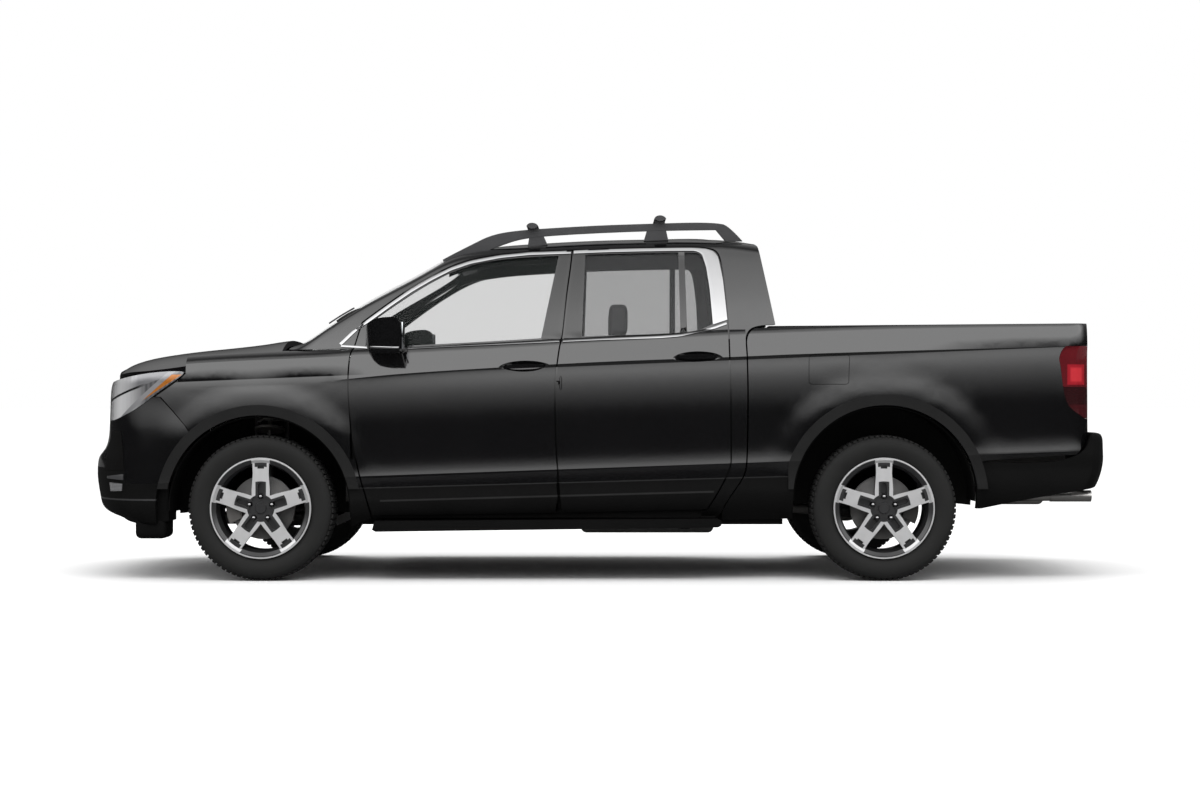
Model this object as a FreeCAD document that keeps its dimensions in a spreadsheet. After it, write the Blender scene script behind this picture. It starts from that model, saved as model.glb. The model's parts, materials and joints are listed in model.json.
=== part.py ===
import FreeCAD, Part
import math
import os
from FreeCAD import Placement, Rotation, Vector

# Crew-cab pickup truck with a short load bed, as it parks on level ground.
# X runs rearwards from the nose, Y to the truck's right and Z up, in millimetres.
# The origin is on the ground, midway along the truck on its centre plane.
# Side pieces are drawn on the left, where Y is negative, and mirrored to the right.

DOC = FreeCAD.newDocument("pickup_truck")

# Driving dimensions: millimetres, or degrees where a name says so
SIZES = {
    "overall_length": 5339,
    "front_overhang": 979,
    "wheelbase": 3180,
    "track": 1700,
    "tyre_radius": 372,
    "tyre_width": 245,
    "tyre_wall": 14,
    "rim_radius": 258,
    "rim_barrel": 216,
    "rim_wall": 9,
    "rim_width": 216,
    "spoke_count": 5,
    "spoke_width": 92,
    "spoke_depth": 32,
    "hub_pad_radius": 74,
    "lug_circle": 120,
    "lug_hole": 15,
    "hub_bore": 64,
    "disc_radius": 163,
    "disc_thickness": 28,
    "running_gap": 0.3,
    "panel_gap": 7.5,
    "door_depth": 100,
    "door_skin": 10,
    "frame_depth": 36,
    "shut_inset": 24,
    "shut_clearance": 10,
    "flange_depth": 12,
    "window_band": 27,
    "glass_thickness": 5,
    "fender_thickness": 26,
    "bed_skin": 40,
    "trim_stand_out": 9,
    "trim_width": 54,
    "arch_radius": 470,
    "arch_front_shift": 12,
    "arch_rear_lift": 55,
    "flare_height": 20,
    "hood_thickness": 30,
    "roof_thickness": 32,
    "roof_height": 1800,
    "front_shell": 40,
    "lamp_depth": 66,
    "rear_shell": 40,
    "bed_half_width": 762,
    "bed_floor": 858,
    "bed_sheet": 14,
    "bed_front": 880,
    "bed_rail": 1303,
    "rail_rise": 13,
    "wheelhouse_half": 635,
    "wheelhouse_rise": 150,
    "tailgate_half": 742,
    "tailgate_depth": 62,
    "lid_length": 640,
    "lid_half_width": 520,
    "lid_thickness": 20,
    "well_depth": 390,
    "cab_floor": 392,
    "sheet": 24,
    "front_rail_offset": 455,
    "rear_rail_offset": 590,
    "rail_width": 80,
    "rail_height": 110,
    "engine_length": 600,
    "engine_width": 760,
    "engine_height": 540,
    "kingpin_lean": 15,
    "handle_length": 212,
    "handle_dish": 122,
    "hinge_pin": 3.5,
    "hinge_sleeve": 6.5,
    "receiver_outer": 63.5,
    "receiver_inner": 51,
    "receiver_length": 230,
    "receiver_pin": 16,
    "steering_radius": 188,
    "steering_grip": 15,
    "rack_rail_width": 40,
    "rack_bar_width": 62,
    "board_width": 120,
}

SHEET = DOC.addObject("Spreadsheet::Sheet", "sizes")
for row, (alias, value) in enumerate(SIZES.items(), start=1):
    SHEET.set(f"A{row}", alias)
    SHEET.set(f"B{row}", str(value))
    SHEET.setAlias(f"B{row}", alias)
DOC.recompute()


def size(alias):
    """Read a driving dimension from the sheet."""
    return float(getattr(SHEET, alias))


# Main stations, worked out from the driving dimensions
NOSE = -size("overall_length") / 2
TAIL = size("overall_length") / 2
FRONT_AXLE = NOSE + size("front_overhang")
REAR_AXLE = FRONT_AXLE + size("wheelbase")
HALF_TRACK = size("track") / 2
AXLE_HEIGHT = size("tyre_radius")
GAP = size("panel_gap")
HALF_GAP = GAP / 2
SEAT = size("running_gap")
NODES = []


# Small helpers for curves, outlines and solids

def blend(value, low, high):
    """Smooth step from 0 at low to 1 at high."""
    share = min(max((value - low) / (high - low), 0), 1)
    return share * share * (3 - 2 * share)


def through(x, points):
    """Height at x of a smooth line through the points, straight beyond its ends."""
    steps = list(zip(points, points[1:]))
    slopes = [(b[1] - a[1]) / (b[0] - a[0]) for a, b in steps]
    if x <= points[0][0]:
        return points[0][1] + (x - points[0][0]) * slopes[0]
    if x >= points[-1][0]:
        return points[-1][1] + (x - points[-1][0]) * slopes[-1]
    tangents = [slopes[0]] + [(a + b) / 2 for a, b in zip(slopes, slopes[1:])] + [slopes[-1]]
    index = max(i for i in range(len(steps)) if points[i][0] <= x)
    (x0, y0), (x1, y1) = steps[index]
    span = x1 - x0
    share = (x - x0) / span
    rise = share * share * (3 - 2 * share)
    first = share * (1 - share) ** 2 * span * tangents[index]
    last = share * share * (share - 1) * span * tangents[index + 1]
    return y0 + (y1 - y0) * rise + first + last


def spline(points):
    """Edge through the points, with evenly spaced knots."""
    curve = Part.BSplineCurve()
    last = len(points) - 1
    curve.interpolate(Points=points, Parameters=[i / last for i in range(last + 1)])
    return curve.toShape()


def natural(points):
    """Edge through the points, with knots spaced by the root of the distance."""
    steps = [math.sqrt(a.distanceToPoint(b)) for a, b in zip(points, points[1:])]
    places = [sum(steps[:i]) / sum(steps) for i in range(len(points))]
    curve = Part.BSplineCurve()
    curve.interpolate(Points=points, Parameters=places)
    return curve.toShape()


def outline(pieces, place):
    """Face bounded by the pieces: two points make a line, more make a smooth curve."""
    edges = []
    for piece in pieces:
        points = [place(*point) for point in piece]
        edges.append(Part.makeLine(*points) if len(points) == 2 else natural(points))
    start, end = pieces[0][0], pieces[-1][-1]
    if math.dist(start, end) > 0.01:
        edges.append(Part.makeLine(place(*end), place(*start)))
    return Part.Face(Part.Wire(edges))


def corners(points):
    """Pieces of a closed outline with straight sides."""
    return [[a, b] for a, b in zip(points, points[1:] + points[:1])]


def meet(a, b, c, d):
    """Crossing point of the lines a-b and c-d."""
    ux, uy, vx, vy = b[0] - a[0], b[1] - a[1], d[0] - c[0], d[1] - c[1]
    cross = ux * vy - uy * vx
    share = ((c[0] - a[0]) * vy - (c[1] - a[1]) * vx) / cross
    return (a[0] + share * ux, a[1] + share * uy)


def inset(pieces, distance):
    """Clockwise outline moved inwards by the distance, or outwards if it is negative."""
    moved = []
    for piece in pieces:
        shifted = []
        for index, point in enumerate(piece):
            before = piece[max(index - 1, 0)]
            after = piece[min(index + 1, len(piece) - 1)]
            dx, dz = after[0] - before[0], after[1] - before[1]
            length = math.hypot(dx, dz)
            shifted.append((point[0] + distance * dz / length, point[1] - distance * dx / length))
        moved.append(shifted)
    for index, piece in enumerate(moved):
        following = moved[(index + 1) % len(moved)]
        corner = meet(piece[-2], piece[-1], following[0], following[1])
        piece[-1] = corner
        following[0] = corner
    return moved


def side_prism(pieces, near, far):
    """Solid with a side-view outline, from Y = near to Y = far."""
    return outline(pieces, lambda x, z: Vector(x, near, z)).extrude(Vector(0, far - near, 0))


def plan_prism(pieces, low, high):
    """Solid with a plan-view outline, from Z = low to Z = high."""
    return outline(pieces, lambda x, y: Vector(x, y, low)).extrude(Vector(0, 0, high - low))


def front_prism(pieces, near, far):
    """Solid with a front-view outline of Y and Z, from X = near to X = far."""
    return outline(pieces, lambda y, z: Vector(near, y, z)).extrude(Vector(far - near, 0, 0))


def block(x0, x1, y0, y1, z0, z1):
    """Box between the given limits."""
    return Part.makeBox(x1 - x0, y1 - y0, z1 - z0, Vector(x0, y0, z0))


def rod(start, end, radius):
    """Cylinder from one point to another."""
    way = end.sub(start)
    return Part.makeCylinder(radius, way.Length, start, way)


def pipe(points, radius, bend):
    """Round bar or pipe along straight runs that arcs of one radius join."""
    edges = []
    start = points[0]
    for before, corner, after in zip(points, points[1:], points[2:]):
        way_in, way_out = corner.sub(before).normalize(), after.sub(corner).normalize()
        turn = way_in.getAngle(way_out)
        trim = bend * math.tan(turn / 2)
        first, last = corner.sub(way_in * trim), corner.add(way_out * trim)
        inward = way_out.sub(way_in).normalize()
        middle = corner.add(inward * (bend / math.cos(turn / 2) - bend))
        edges.append(Part.makeLine(start, first))
        edges.append(Part.Arc(first, middle, last).toShape())
        start = last
    edges.append(Part.makeLine(start, points[-1]))
    section = Part.Face(Part.Wire(Part.makeCircle(radius, points[0], points[1].sub(points[0]))))
    return Part.Wire(edges).makePipe(section)


def coil(foot, top, radius, wire, turns):
    """Coil spring between two points of its axis, with an eight-sided wire."""
    steps, sides = 12, 8
    length = top.sub(foot).Length - 2 * wire
    sections = []
    for i in range(int(turns * steps) + 1):
        angle = 2 * math.pi * i / steps
        out = Vector(math.cos(angle), math.sin(angle), 0)
        centre = out * radius + Vector(0, 0, wire + length * i / (turns * steps))
        ring = []
        for k in range(sides):
            around = math.pi * (2 * k + 1) / sides
            ring.append(centre + out * (wire * math.cos(around)) + Vector(0, 0, wire * math.sin(around)))
        sections.append(Part.makePolygon(ring + ring[:1]))
    spring = Part.makeLoft(sections, True, True)
    spring.Placement = Placement(foot, Rotation(Vector(0, 0, 1), top.sub(foot)))
    return spring


def fused(shapes):
    """One shape from several that overlap."""
    return shapes[0].multiFuse(shapes[1:]).removeSplitter()


def cut(shape, tools):
    """Shape with the tools taken away."""
    return shape.cut(tools) if tools else shape


def mirrored(shape):
    """The same shape on the truck's other side."""
    return shape.mirror(Vector(0, 0, 0), Vector(0, 1, 0))


def solids(shapes):
    """Compound of every solid in the shapes."""
    return Part.makeCompound([solid for shape in shapes for solid in shape.Solids])


def piece(name, shape, place=Placement(Vector(0, 0, 0), Rotation())):
    """Add a sub-part made with Part's own functions to the document."""
    feature = DOC.addObject("Part::Feature", name)
    feature.Shape = shape
    feature.Label = name
    feature.Placement = place
    NODES.append(feature)
    return feature


def both(name, shape):
    """Add a sub-part that has one solid on each side of the truck."""
    return piece(name, solids([shape, mirrored(shape)]))


# Lines that run along the body side, as height at each station

def rising(x, station, height, slope):
    return height + (x - station) * slope


def sill_line(x):
    return rising(x, -1222, 275, 0.0184)


def clad_crease(x):
    return rising(x, -1131, 415, 0.0238)


def clad_top(x):
    return rising(x, -1157, 476, 0.0272)


def low_crease(x):
    return rising(x, -1106, 538, 0.0350)


def shoulder_line(x):
    return through(x, [(-2300, 985), (-1422, 1016), (-979, 1057), (-469, 1090), (40, 1118),
                       (703, 1143), (1060, 1158), (2500, 1200)])


def belt_line(x):
    return through(x, [(-2300, 1090), (-2003, 1113), (-1339, 1144), (-726, 1172), (40, 1215),
                       (781, 1256), (1573, 1284), (2390, 1297), (2540, 1300)])


def roof_line(x):
    """Height of the roof and windscreen on the centre plane."""
    return through(x, [(-1640, 1180), (-1454, 1296), (-1370, 1356), (-1260, 1428), (-1149, 1495),
                       (-1039, 1555), (-927, 1615), (-806, 1684), (-740, 1714), (-620, 1741),
                       (-488, 1760), (-224, 1779), (40, 1792), (305, 1798), (430, size("roof_height")),
                       (569, 1798), (727, 1790), (859, 1772), (960, 1752)])


# Body side surface, as half width at a station and a height

ARCHES = (
    (FRONT_AXLE - size("arch_front_shift"), AXLE_HEIGHT + 3),
    (REAR_AXLE + 5, AXLE_HEIGHT + size("arch_rear_lift")),
)


def flare(x, z):
    """How far the body swells out round the wheel openings."""
    total = 0
    for centre_x, centre_z in ARCHES:
        reach = math.hypot(x - centre_x, z - centre_z)
        angle = math.degrees(math.atan2(z - centre_z, abs(x - centre_x)))
        fade = blend(angle, 8, 48)
        total += size("flare_height") * fade * (1 - blend(reach, 535, 660))
    return total


def plan_taper(x):
    """How far the side draws in towards the nose and the tail."""
    front = 14 * blend(-x, 1750, 2350)
    rear = 10 * blend(x, 1900, 2440) + 58 * max(0, (x - 2440) / 102) ** 2.6
    return front + rear


def side_rows(x):
    """Height and half width of the side section's creases and the curves between them."""
    shoulder, belt = shoulder_line(x), belt_line(x)
    crisp = blend(x, -1500, -1000) * (1 - 0.7 * blend(x, 1300, 2300))
    waist = 953
    rows = [
        [(sill_line(x), 906), (sill_line(x) + 34, 934), (clad_crease(x) - 70, 962), (clad_crease(x), 975)],
        [(clad_crease(x), 975), ((clad_crease(x) + low_crease(x)) / 2, 969), (low_crease(x), 974)],
        [(low_crease(x), 974), (low_crease(x) + 50, 965), (low_crease(x) + 120, 960),
         (low_crease(x) + 210, waist + 4)],
        [(shoulder, 957 + 10 * crisp), ((shoulder + belt) / 2, 956), (belt, 945)],
    ]
    start = low_crease(x) + 210
    span = shoulder - start
    for share, width in ((0.2, waist + 3), (0.4, waist + 1), (0.6, waist), (0.8, waist), (0.93, waist + 2 + 2 * crisp)):
        rows[2].append((start + share * span, width))
    rows[2].append(rows[3][0])
    return rows


def side_width(x, z):
    """Half width of the body side at any height, from the same rows."""
    flat = sorted({point for row in side_rows(x) for point in row})
    for (z0, w0), (z1, w1) in zip(flat, flat[1:]):
        if z <= z1:
            share = min(max((z - z0) / (z1 - z0), 0), 1)
            return w0 + (w1 - w0) * share + flare(x, z) - plan_taper(x)
    return flat[-1][1] - plan_taper(x)


def ledge(x):
    """Curve from the belt crease in to the foot of the glass, or over the fender to the hood."""
    belt = belt_line(x)
    fender = 1 - blend(x, -1420, -1180)
    foot = 905 - 45 * fender
    rise = 34 + 8 * fender
    width = 945
    return [(belt, width), (belt + rise * 0.62, width - (width - foot) * 0.35), (belt + rise, foot)]


def side_section(x, out, depth, top):
    """Closed section of a slab that follows the body side; top adds the roll over the belt."""
    taper = plan_taper(x)
    shift = out - taper
    rows = side_rows(x) + ([ledge(x)] if top else [])
    edges = []
    for row in rows:
        edges.append(spline([Vector(x, -(w + flare(x, z) + shift), z) for z, w in row]))
    first, last = edges[0].valueAt(edges[0].FirstParameter), edges[-1].valueAt(edges[-1].LastParameter)
    if depth > THIN:
        knee = Vector(x, -(rows[2][0][1] + shift - depth), rows[2][0][0])
        inside_top = Vector(x, -(945 + shift - depth), last.z)
        inside_low = Vector(x, first.y + depth, first.z)
        path = [last, inside_top, knee, inside_low, first]
        edges += [Part.makeLine(start, end) for start, end in zip(path, path[1:])]
        return Part.Wire(edges)
    inner = []
    for row in rows:
        inner.append([Vector(x, -(w + flare(x, z) + shift - depth), z) for z, w in row])
    if top:
        low, crest = rows[-1][0], rows[-1][-1]
        inner[-1] = [Vector(x, -(low[1] + shift - 0.9 * depth), low[0] - 0.35 * depth),
                     Vector(x, -(crest[1] + shift - 0.1 * depth), crest[0] - depth)]
        inner[-2][-1] = inner[-1][0]
    edges.append(Part.makeLine(last, inner[-1][-1]))
    for points in reversed(inner):
        edges.append(Part.makeLine(points[1], points[0]) if len(points) == 2 else spline(list(reversed(points))))
    edges.append(Part.makeLine(inner[0][0], first))
    return Part.Wire(edges)


THIN = 45


def stations(start, end, step, extra=()):
    """Evenly spaced places between two ends, with any extra ones."""
    count = max(2, round((end - start) / step))
    places = {start + (end - start) * i / count for i in range(count + 1)}
    return sorted(places | set(extra))


def side_slab(start, end, out, depth, top=True, step=70, extra=()):
    """Solid that follows the left body side between two stations."""
    sections = [side_section(x, out, depth, top) for x in stations(start, end, step, extra)]
    return Part.makeLoft(sections, True, False)


# Cabin canopy: windscreen, roof and side glass share one outer surface

def glass_half(x, z):
    """Half width of the side glass, which leans in and bows out a little."""
    rise = z - belt_line(x) - 20
    foot = 905 - 32 * (1 - blend(x, -1450, -700))
    share = min(max(rise / 480, 0), 1)
    return foot - 0.47 * rise + 72 * share * (1 - share)


def canopy_curves(x, drop):
    """Top, shoulder and side curves of the left half of the canopy, sunk by drop."""
    centre = roof_line(x)
    roofed = blend(x, -860, -640)
    side_top = centre - 94 + 6 * roofed
    side_top = max(side_top, belt_line(x) + 26)
    side_y = glass_half(x, side_top)
    edge_y = side_y - (26 + 50 * roofed)
    edge_z = min(side_top + (26 + 20 * roofed), centre - 2)
    inner_y = edge_y - 0.8 * drop
    top = []
    for share in (0, 0.25, 0.45, 0.62, 0.76, 0.88, 1):
        top.append(Vector(x, -inner_y * share, centre - (centre - edge_z) * share ** 2.3 - drop))
    end_y, end_z = side_y - drop, side_top - 0.92 * drop
    middle = Vector(x, -(inner_y + (end_y - inner_y) * 0.62), edge_z - drop - (edge_z - drop - end_z) * 0.42)
    shoulder = [top[-1], middle, Vector(x, -end_y, end_z)]
    foot = belt_line(x) - 30
    side = []
    for share in (0, 0.2, 0.4, 0.6, 0.8, 1):
        z = side_top + (foot - side_top) * share
        side.append(Vector(x, -glass_half(x, z) + drop, z - 0.92 * drop * (1 - share)))
    return top, shoulder, side


def canopy_section(x, drop, depth):
    """Closed section of the left half of a canopy shell."""
    outer = canopy_curves(x, drop)
    inner = canopy_curves(x, drop + depth)
    edges = [spline(points) for points in outer]
    edges.append(Part.makeLine(outer[2][-1], inner[2][-1]))
    edges += [spline(list(reversed(points))) for points in reversed(inner)]
    edges.append(Part.makeLine(inner[0][0], outer[0][0]))
    return Part.Wire(edges)


def canopy(start, end, drop, depth, step=60):
    """Solid shell under the left half of the canopy's surface."""
    sections = [canopy_section(x, drop, depth) for x in stations(start, end, step)]
    return Part.makeLoft(sections, True, False)


# Nose surface: a plan curve at each height, swept back to the body side

NOSE_PROFILE = [(288, -2450), (309, -2515), (339, -2600), (373, -2640), (405, -2651), (458, -2662),
                (510, -2669.5), (590, -2669.5), (627, -2659), (660, -2632), (700, -2612), (765, -2602),
                (860, -2598), (950, -2594), (1000, -2586), (1035, -2570), (1060, -2548)]
NOSE_END = -2230


def nose_line(z):
    """Station of the nose on the centre plane."""
    return through(z, NOSE_PROFILE) - NOSE_PROFILE[7][1] + NOSE


def nose_wire(z, depth, back):
    """Closed plan section of the nose shell at one height."""
    def half(shrink):
        width = side_width(NOSE_END, z) - shrink
        reach = NOSE_END - nose_line(z) - shrink
        points = []
        for i in range(13):
            angle = math.radians(90 * i / 12)
            across = width * math.sin(angle) ** (2 / 2.2)
            along = reach * math.cos(angle) ** (2 / 2.48)
            points.append((NOSE_END - along, across))
        for x in (NOSE_END + (back - NOSE_END) * 0.5, back):
            points.append((x, side_width(x, z) - shrink))
        return points
    def full(points):
        left = [Vector(x, -y, z) for x, y in reversed(points)]
        right = [Vector(x, y, z) for x, y in points[1:]]
        return left + right
    outer, inner = full(half(0)), full(half(depth))
    return Part.Wire([spline(outer), Part.makeLine(outer[-1], inner[-1]),
                      spline(list(reversed(inner))), Part.makeLine(inner[0], outer[0])])


def nose_shell(low, high, depth, back=-2040):
    """Solid shell of the nose between two heights."""
    heights = [low] + [z for z, _ in NOSE_PROFILE if low + 8 < z < high - 8] + [high]
    return Part.makeLoft([nose_wire(z, depth, back) for z in heights], True, False)


# Cut lines of the body side, as clockwise side-view outlines

DOOR_FRONT = [(-1123, 332), (-1153, 429), (-1179, 516), (-1204, 618), (-1225, 720), (-1235, 822),
              (-1243, 924), (-1245, 1001), (-1243, 1077), (-1235, 1154), (-1220, 1205), (-1199, 1281),
              (-1186, 1324)]
DOOR_A_PILLAR = [(-1186, 1324), (-1150, 1352), (-1049, 1428), (-948, 1500), (-845, 1563), (-742, 1617),
                 (-638, 1655), (-482, 1684), (-325, 1698), (-104, 1706)]
DOOR_MIDDLE = [(-104, 1706), (-115, 1599), (-131, 1469), (-153, 1256), (-164, 1205), (-179, 1103),
               (-187, 1026), (-189, 924), (-187, 771), (-179, 618), (-171, 516), (-164, 414), (-153, 345)]
DOOR_ROOF = [(-104, 1706), (40, 1712), (249, 1718), (458, 1721), (563, 1720), (612, 1712)]
DOOR_REAR = [(612, 1712), (644, 1699), (662, 1667), (680, 1548), (692, 1400), (698, 1300), (701, 1179),
             (706, 1026), (709, 873), (709, 618)]
DOOR_WHEEL = [(709, 618), (688, 541), (627, 429), (586, 363)]
FRONT_DOOR = [DOOR_FRONT, DOOR_A_PILLAR, DOOR_MIDDLE, [(-153, 345), (-1123, 332)]]
REAR_DOOR = [list(reversed(DOOR_MIDDLE)), DOOR_ROOF, DOOR_REAR, DOOR_WHEEL, [(586, 363), (-153, 345)]]
FRONT_WINDOW = [
    [(-1165, 1193), (-1160, 1313)],
    [(-1160, 1313), (-1035, 1405), (-935, 1474), (-834, 1537), (-733, 1590), (-630, 1627), (-478, 1656),
     (-323, 1670), (-175, 1677)],
    [(-175, 1677), (-262, 1241)],
    [(-262, 1241), (-728, 1214), (-1165, 1193)],
]
REAR_WINDOW = [
    [(-53, 1250), (-36, 1682)],
    [(-36, 1682), (40, 1685), (249, 1690), (440, 1693), (540, 1691)],
    [(540, 1691), (562, 1680), (580, 1648), (597, 1560), (606, 1496), (620, 1316)],
    [(620, 1316), (550, 1285), (440, 1268), (40, 1253), (-53, 1250)],
]
BODY_GAP = [(660, 350), (700, 425), (745, 490), (775, 540), (787, 592), (794, 760), (796, 975), (788, 1205)]
CAB_FOOT = [(940, 1311), (850, 1304), (808, 1286), (788, 1252), (784, 1205)]
BED_HEAD = [(792, 1205), (796, 1248), (816, 1279), (860, 1297.5)]


BED_END = TAIL - 232 + SEAT


# Body pieces of the left side

def arch_tool(index, radius, near=-1100, far=-600):
    """Wheel opening as a cutting solid, with straight legs below the axle."""
    x, z = ARCHES[index]
    round_part = Part.makeCylinder(radius, far - near, Vector(x, near, z), Vector(0, 1, 0))
    legs = block(x - radius, x + radius, near, far, 0, z)
    return round_part.fuse(legs)


def inboard_of(start, end, depth):
    """Solid inboard of a flat plane that follows the side glass at a depth."""
    foot_z, head_z = belt_line(end) - 14, 1800

    def plane(x, z):
        low_front = glass_half(start, belt_line(start) + 20)
        low_rear = glass_half(end, belt_line(end) + 20)
        high_rear = glass_half(end, 1690)
        rake = (high_rear - low_rear) / (1690 - belt_line(end) - 20)
        turn = (low_rear - low_front - rake * (belt_line(end) - belt_line(start))) / (end - start)
        return low_rear + rake * (z - belt_line(end) - 20) + turn * (x - end) - depth

    corner_points = [(start, belt_line(start) - 14), (end, foot_z), (end, head_z), (start, head_z)]
    points = [Vector(x, -plane(x, z), z) for x, z in corner_points]
    return Part.Face(Part.makePolygon(points + points[:1])).extrude(Vector(0, 400, 0))


def shut_rebate(outer, start, end):
    """Ring cut from the back of a door's edge, so that only its outer flange laps the frame."""
    ring = side_prism(inset(outer, -20), -1100, -400).cut(side_prism(inset(outer, size("shut_inset")), -1110, -390))
    low = side_prism(corners([(start, 200), (start, belt_line(start) - 12), (end, belt_line(end) - 12), (end, 200)]),
                     FLANGE_Y, -500)
    high = inboard_of(start, end, size("flange_depth"))
    return ring.common(low), ring.common(high)


FLANGE_Y = -938


def door(outer, window, hinge):
    """Door with a lapping edge, a framed window and hinge sleeves at its front edge."""
    start = min(point[0] for line in outer for point in line) - 12
    end = max(point[0] for line in outer for point in line) + 12
    panel_tool = side_prism(inset(outer, HALF_GAP), -1100, -500)
    lower = side_slab(start, end, 0, size("door_depth")).common(panel_tool)
    upper = canopy(start, end, 0, size("frame_depth")).common(panel_tool)
    shape = lower.fuse(upper)
    shape = shape.cut(side_prism(window, -1100, -500))
    low, high = shut_rebate(outer, start, end)
    shape = shape.cut(low).cut(high)
    for height in HINGE_HEIGHTS:
        shape = shape.fuse(hinge_rod(hinge, height, size("hinge_sleeve"), 56))
        shape = shape.cut(hinge_room(hinge, height))
    return shape


HINGE_HEIGHTS = (742, 1010)
FRONT_HINGE = (-1222, -953, 0.026)
REAR_HINGE = (-160, -952, 0)


def hinge_point(hinge, z):
    """Point of a door's hinge line at one height: the front door's line leans inwards."""
    x, y, lean = hinge
    return Vector(x, y + lean * (z - HINGE_HEIGHTS[0]), z)


def hinge_rod(hinge, z, radius, length):
    """Round bar along the hinge line, centred on one height."""
    return rod(hinge_point(hinge, z - length / 2), hinge_point(hinge, z + length / 2), radius)


def swing_room(hinge, low, high, radius):
    """Room round the hinge line for the edge of the door that swings there."""
    return rod(hinge_point(hinge, low), hinge_point(hinge, high), radius)


def hinge_room(hinge, z):
    """Bore for the hinge pin and the slot that the fixed arm reaches through."""
    x, y = hinge_point(hinge, z).x, hinge_point(hinge, z).y
    slot = block(x - 30, x + size("hinge_pin") + 2, y - size("hinge_sleeve") + 2, -800, z - 12, z + 12)
    return hinge_rod(hinge, z, size("hinge_pin") + SEAT, 70).fuse(slot)


def hinge_arm(hinge, z):
    """Hinge pin and the arm that carries it from the pillar."""
    half, middle = size("hinge_pin"), hinge_point(hinge, z)
    arm = block(middle.x - half, middle.x + half, middle.y, -835, z - 10, z + 10)
    foot = block(middle.x - 24, middle.x + half, -840, -800, z - 10, z + 10)
    return hinge_rod(hinge, z, half, 60).fuse(arm).fuse(foot)


HANDLES = {"door_front": (-344, 1092), "door_rear": (537, 1143)}


def handle_shapes(x, z):
    """Eye-shaped hand dish in a door's skin and the pull bar across it."""
    skin, reach = side_width(x, z), size("handle_length") / 2
    stretch = FreeCAD.Matrix()
    stretch.scale(Vector(size("handle_dish") / 37, 1, 1))
    dish = Part.makeSphere(58).transformGeometry(stretch)
    dish.translate(Vector(x, -skin - 44, z))
    crown = [(x - reach, z + 2), (x - 0.6 * reach, z + 12), (x, z + 17), (x + 0.6 * reach, z + 15), (x + reach, z + 6)]
    belly = [(x + reach, z + 6), (x + 0.6 * reach, z - 7), (x, z - 12), (x - 0.6 * reach, z - 11), (x - reach, z + 2)]
    bar = side_prism([crown, belly], -skin - 18, -skin - 7)
    for share in (-0.72, 0.72):
        foot = x + share * reach
        bar = bar.fuse(block(foot - 14, foot + 14, -skin - 8, -skin + 22, z - 5, z + 9))
    return dish, bar


def window_glass(window):
    """Side glass just inside its opening, between the frame's faces."""
    start = min(p[0] for line in window for p in line) - 10
    end = max(p[0] for line in window for p in line) + 10
    shell = canopy(start, end, 6, size("glass_thickness"))
    return shell.common(side_prism(inset(window, SEAT), -1100, -500))


def fender_shape():
    """Front fender from the lamp to the door, over the wheel opening and up to the hood."""
    rear = [(x, z) for x, z in inset(FRONT_DOOR, -HALF_GAP)[0]][:-2]
    slab = side_slab(-2262, -1100, 0, size("fender_thickness"), True, 60)
    rear[0] = (rear[0][0] - 3, 315)
    pieces = [
        [(-1225, 279), rear[0]],
        rear,
        [rear[-1], (-1232, 1320)],
        [(-1232, 1320), (-2075, 1320)],
        [(-2075, 1320), (-2075, 1058)],
        [(-2075, 1058), (-2112, 1025), (-2230, 942)],
        [(-2230, 942), (-2203, 940)],
        [(-2203, 940), (-2071, 791)],
        [(-2071, 791), (-1950, 600)],
        [(-1950, 600), (-1600, 300)],
    ]
    pillar = block(PILLAR_FRONT - 1, -1100, -924 - SEAT, -780, 300, 1130)
    room = swing_room(FRONT_HINGE, 620, 755, 19)
    return slab.common(side_prism(pieces, -1100, -600)).cut([arch_tool(0, size("arch_radius")), pillar, room])


def bed_side_shape():
    """Load-bed side with its rail, rear post and tail-lamp pocket."""
    slab = side_slab(640, 2541, 0, size("bed_skin"), True, 70, (2480, 2500, 2515, 2530))
    front_line = [(x + HALF_GAP, z) for x, z in BODY_GAP[:-1]] + [BED_HEAD[0]]
    pieces = [
        front_line,
        BED_HEAD,
        [BED_HEAD[-1], (945, 1301)],
        [(945, 1301), (960, 1400)],
        [(960, 1400), (2600, 1400)],
        [(2600, 1400), (2600, 717)],
        [(2600, 717), (2536, 717)],
        [(2536, 717), (2470, 646)],
        [(2470, 646), (2018, 617)],
        [(2018, 617), (1900, 594)],
        [(1900, 594), (1100, 300)],
        [(1100, 300), (664, 312)],
    ]
    skin = slab.common(side_prism(pieces, -1100, -600)).cut(arch_tool(1, size("arch_radius")))
    half, rail = size("bed_half_width"), size("bed_rail")
    back_rail = rail + size("rail_rise")
    top = side_prism(corners([(905, rail - 42), (905, rail), (2480, back_rail), (2480, back_rail - 42)]), -912, -half)
    rake = side_prism(corners([(700, rail - 1.7), (700, 1500), (2700, 1500), (2700, back_rail + 1.8)]), -1100, -600)
    inner = -size("tailgate_half") - GAP
    post = plan_prism(corners([(BED_END, -880), (2505, -872), (2540, -838), (2540, inner), (BED_END, inner)]),
                      760, rail - 12)
    shape = fused([skin, top, post]).cut(rake)
    return shape.cut(side_prism(LAMP_REAR, -1100, -780))


LAMP_REAR = [
    [(2388, 1119), (2388, 1150), (2409, 1191), (2435, 1201)],
    [(2435, 1201), (2620, 1201)],
    [(2620, 1201), (2620, 829)],
    [(2620, 829), (2522, 829)],
    [(2522, 829), (2476, 857), (2429, 903), (2404, 1001), (2388, 1119)],
]


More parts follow.
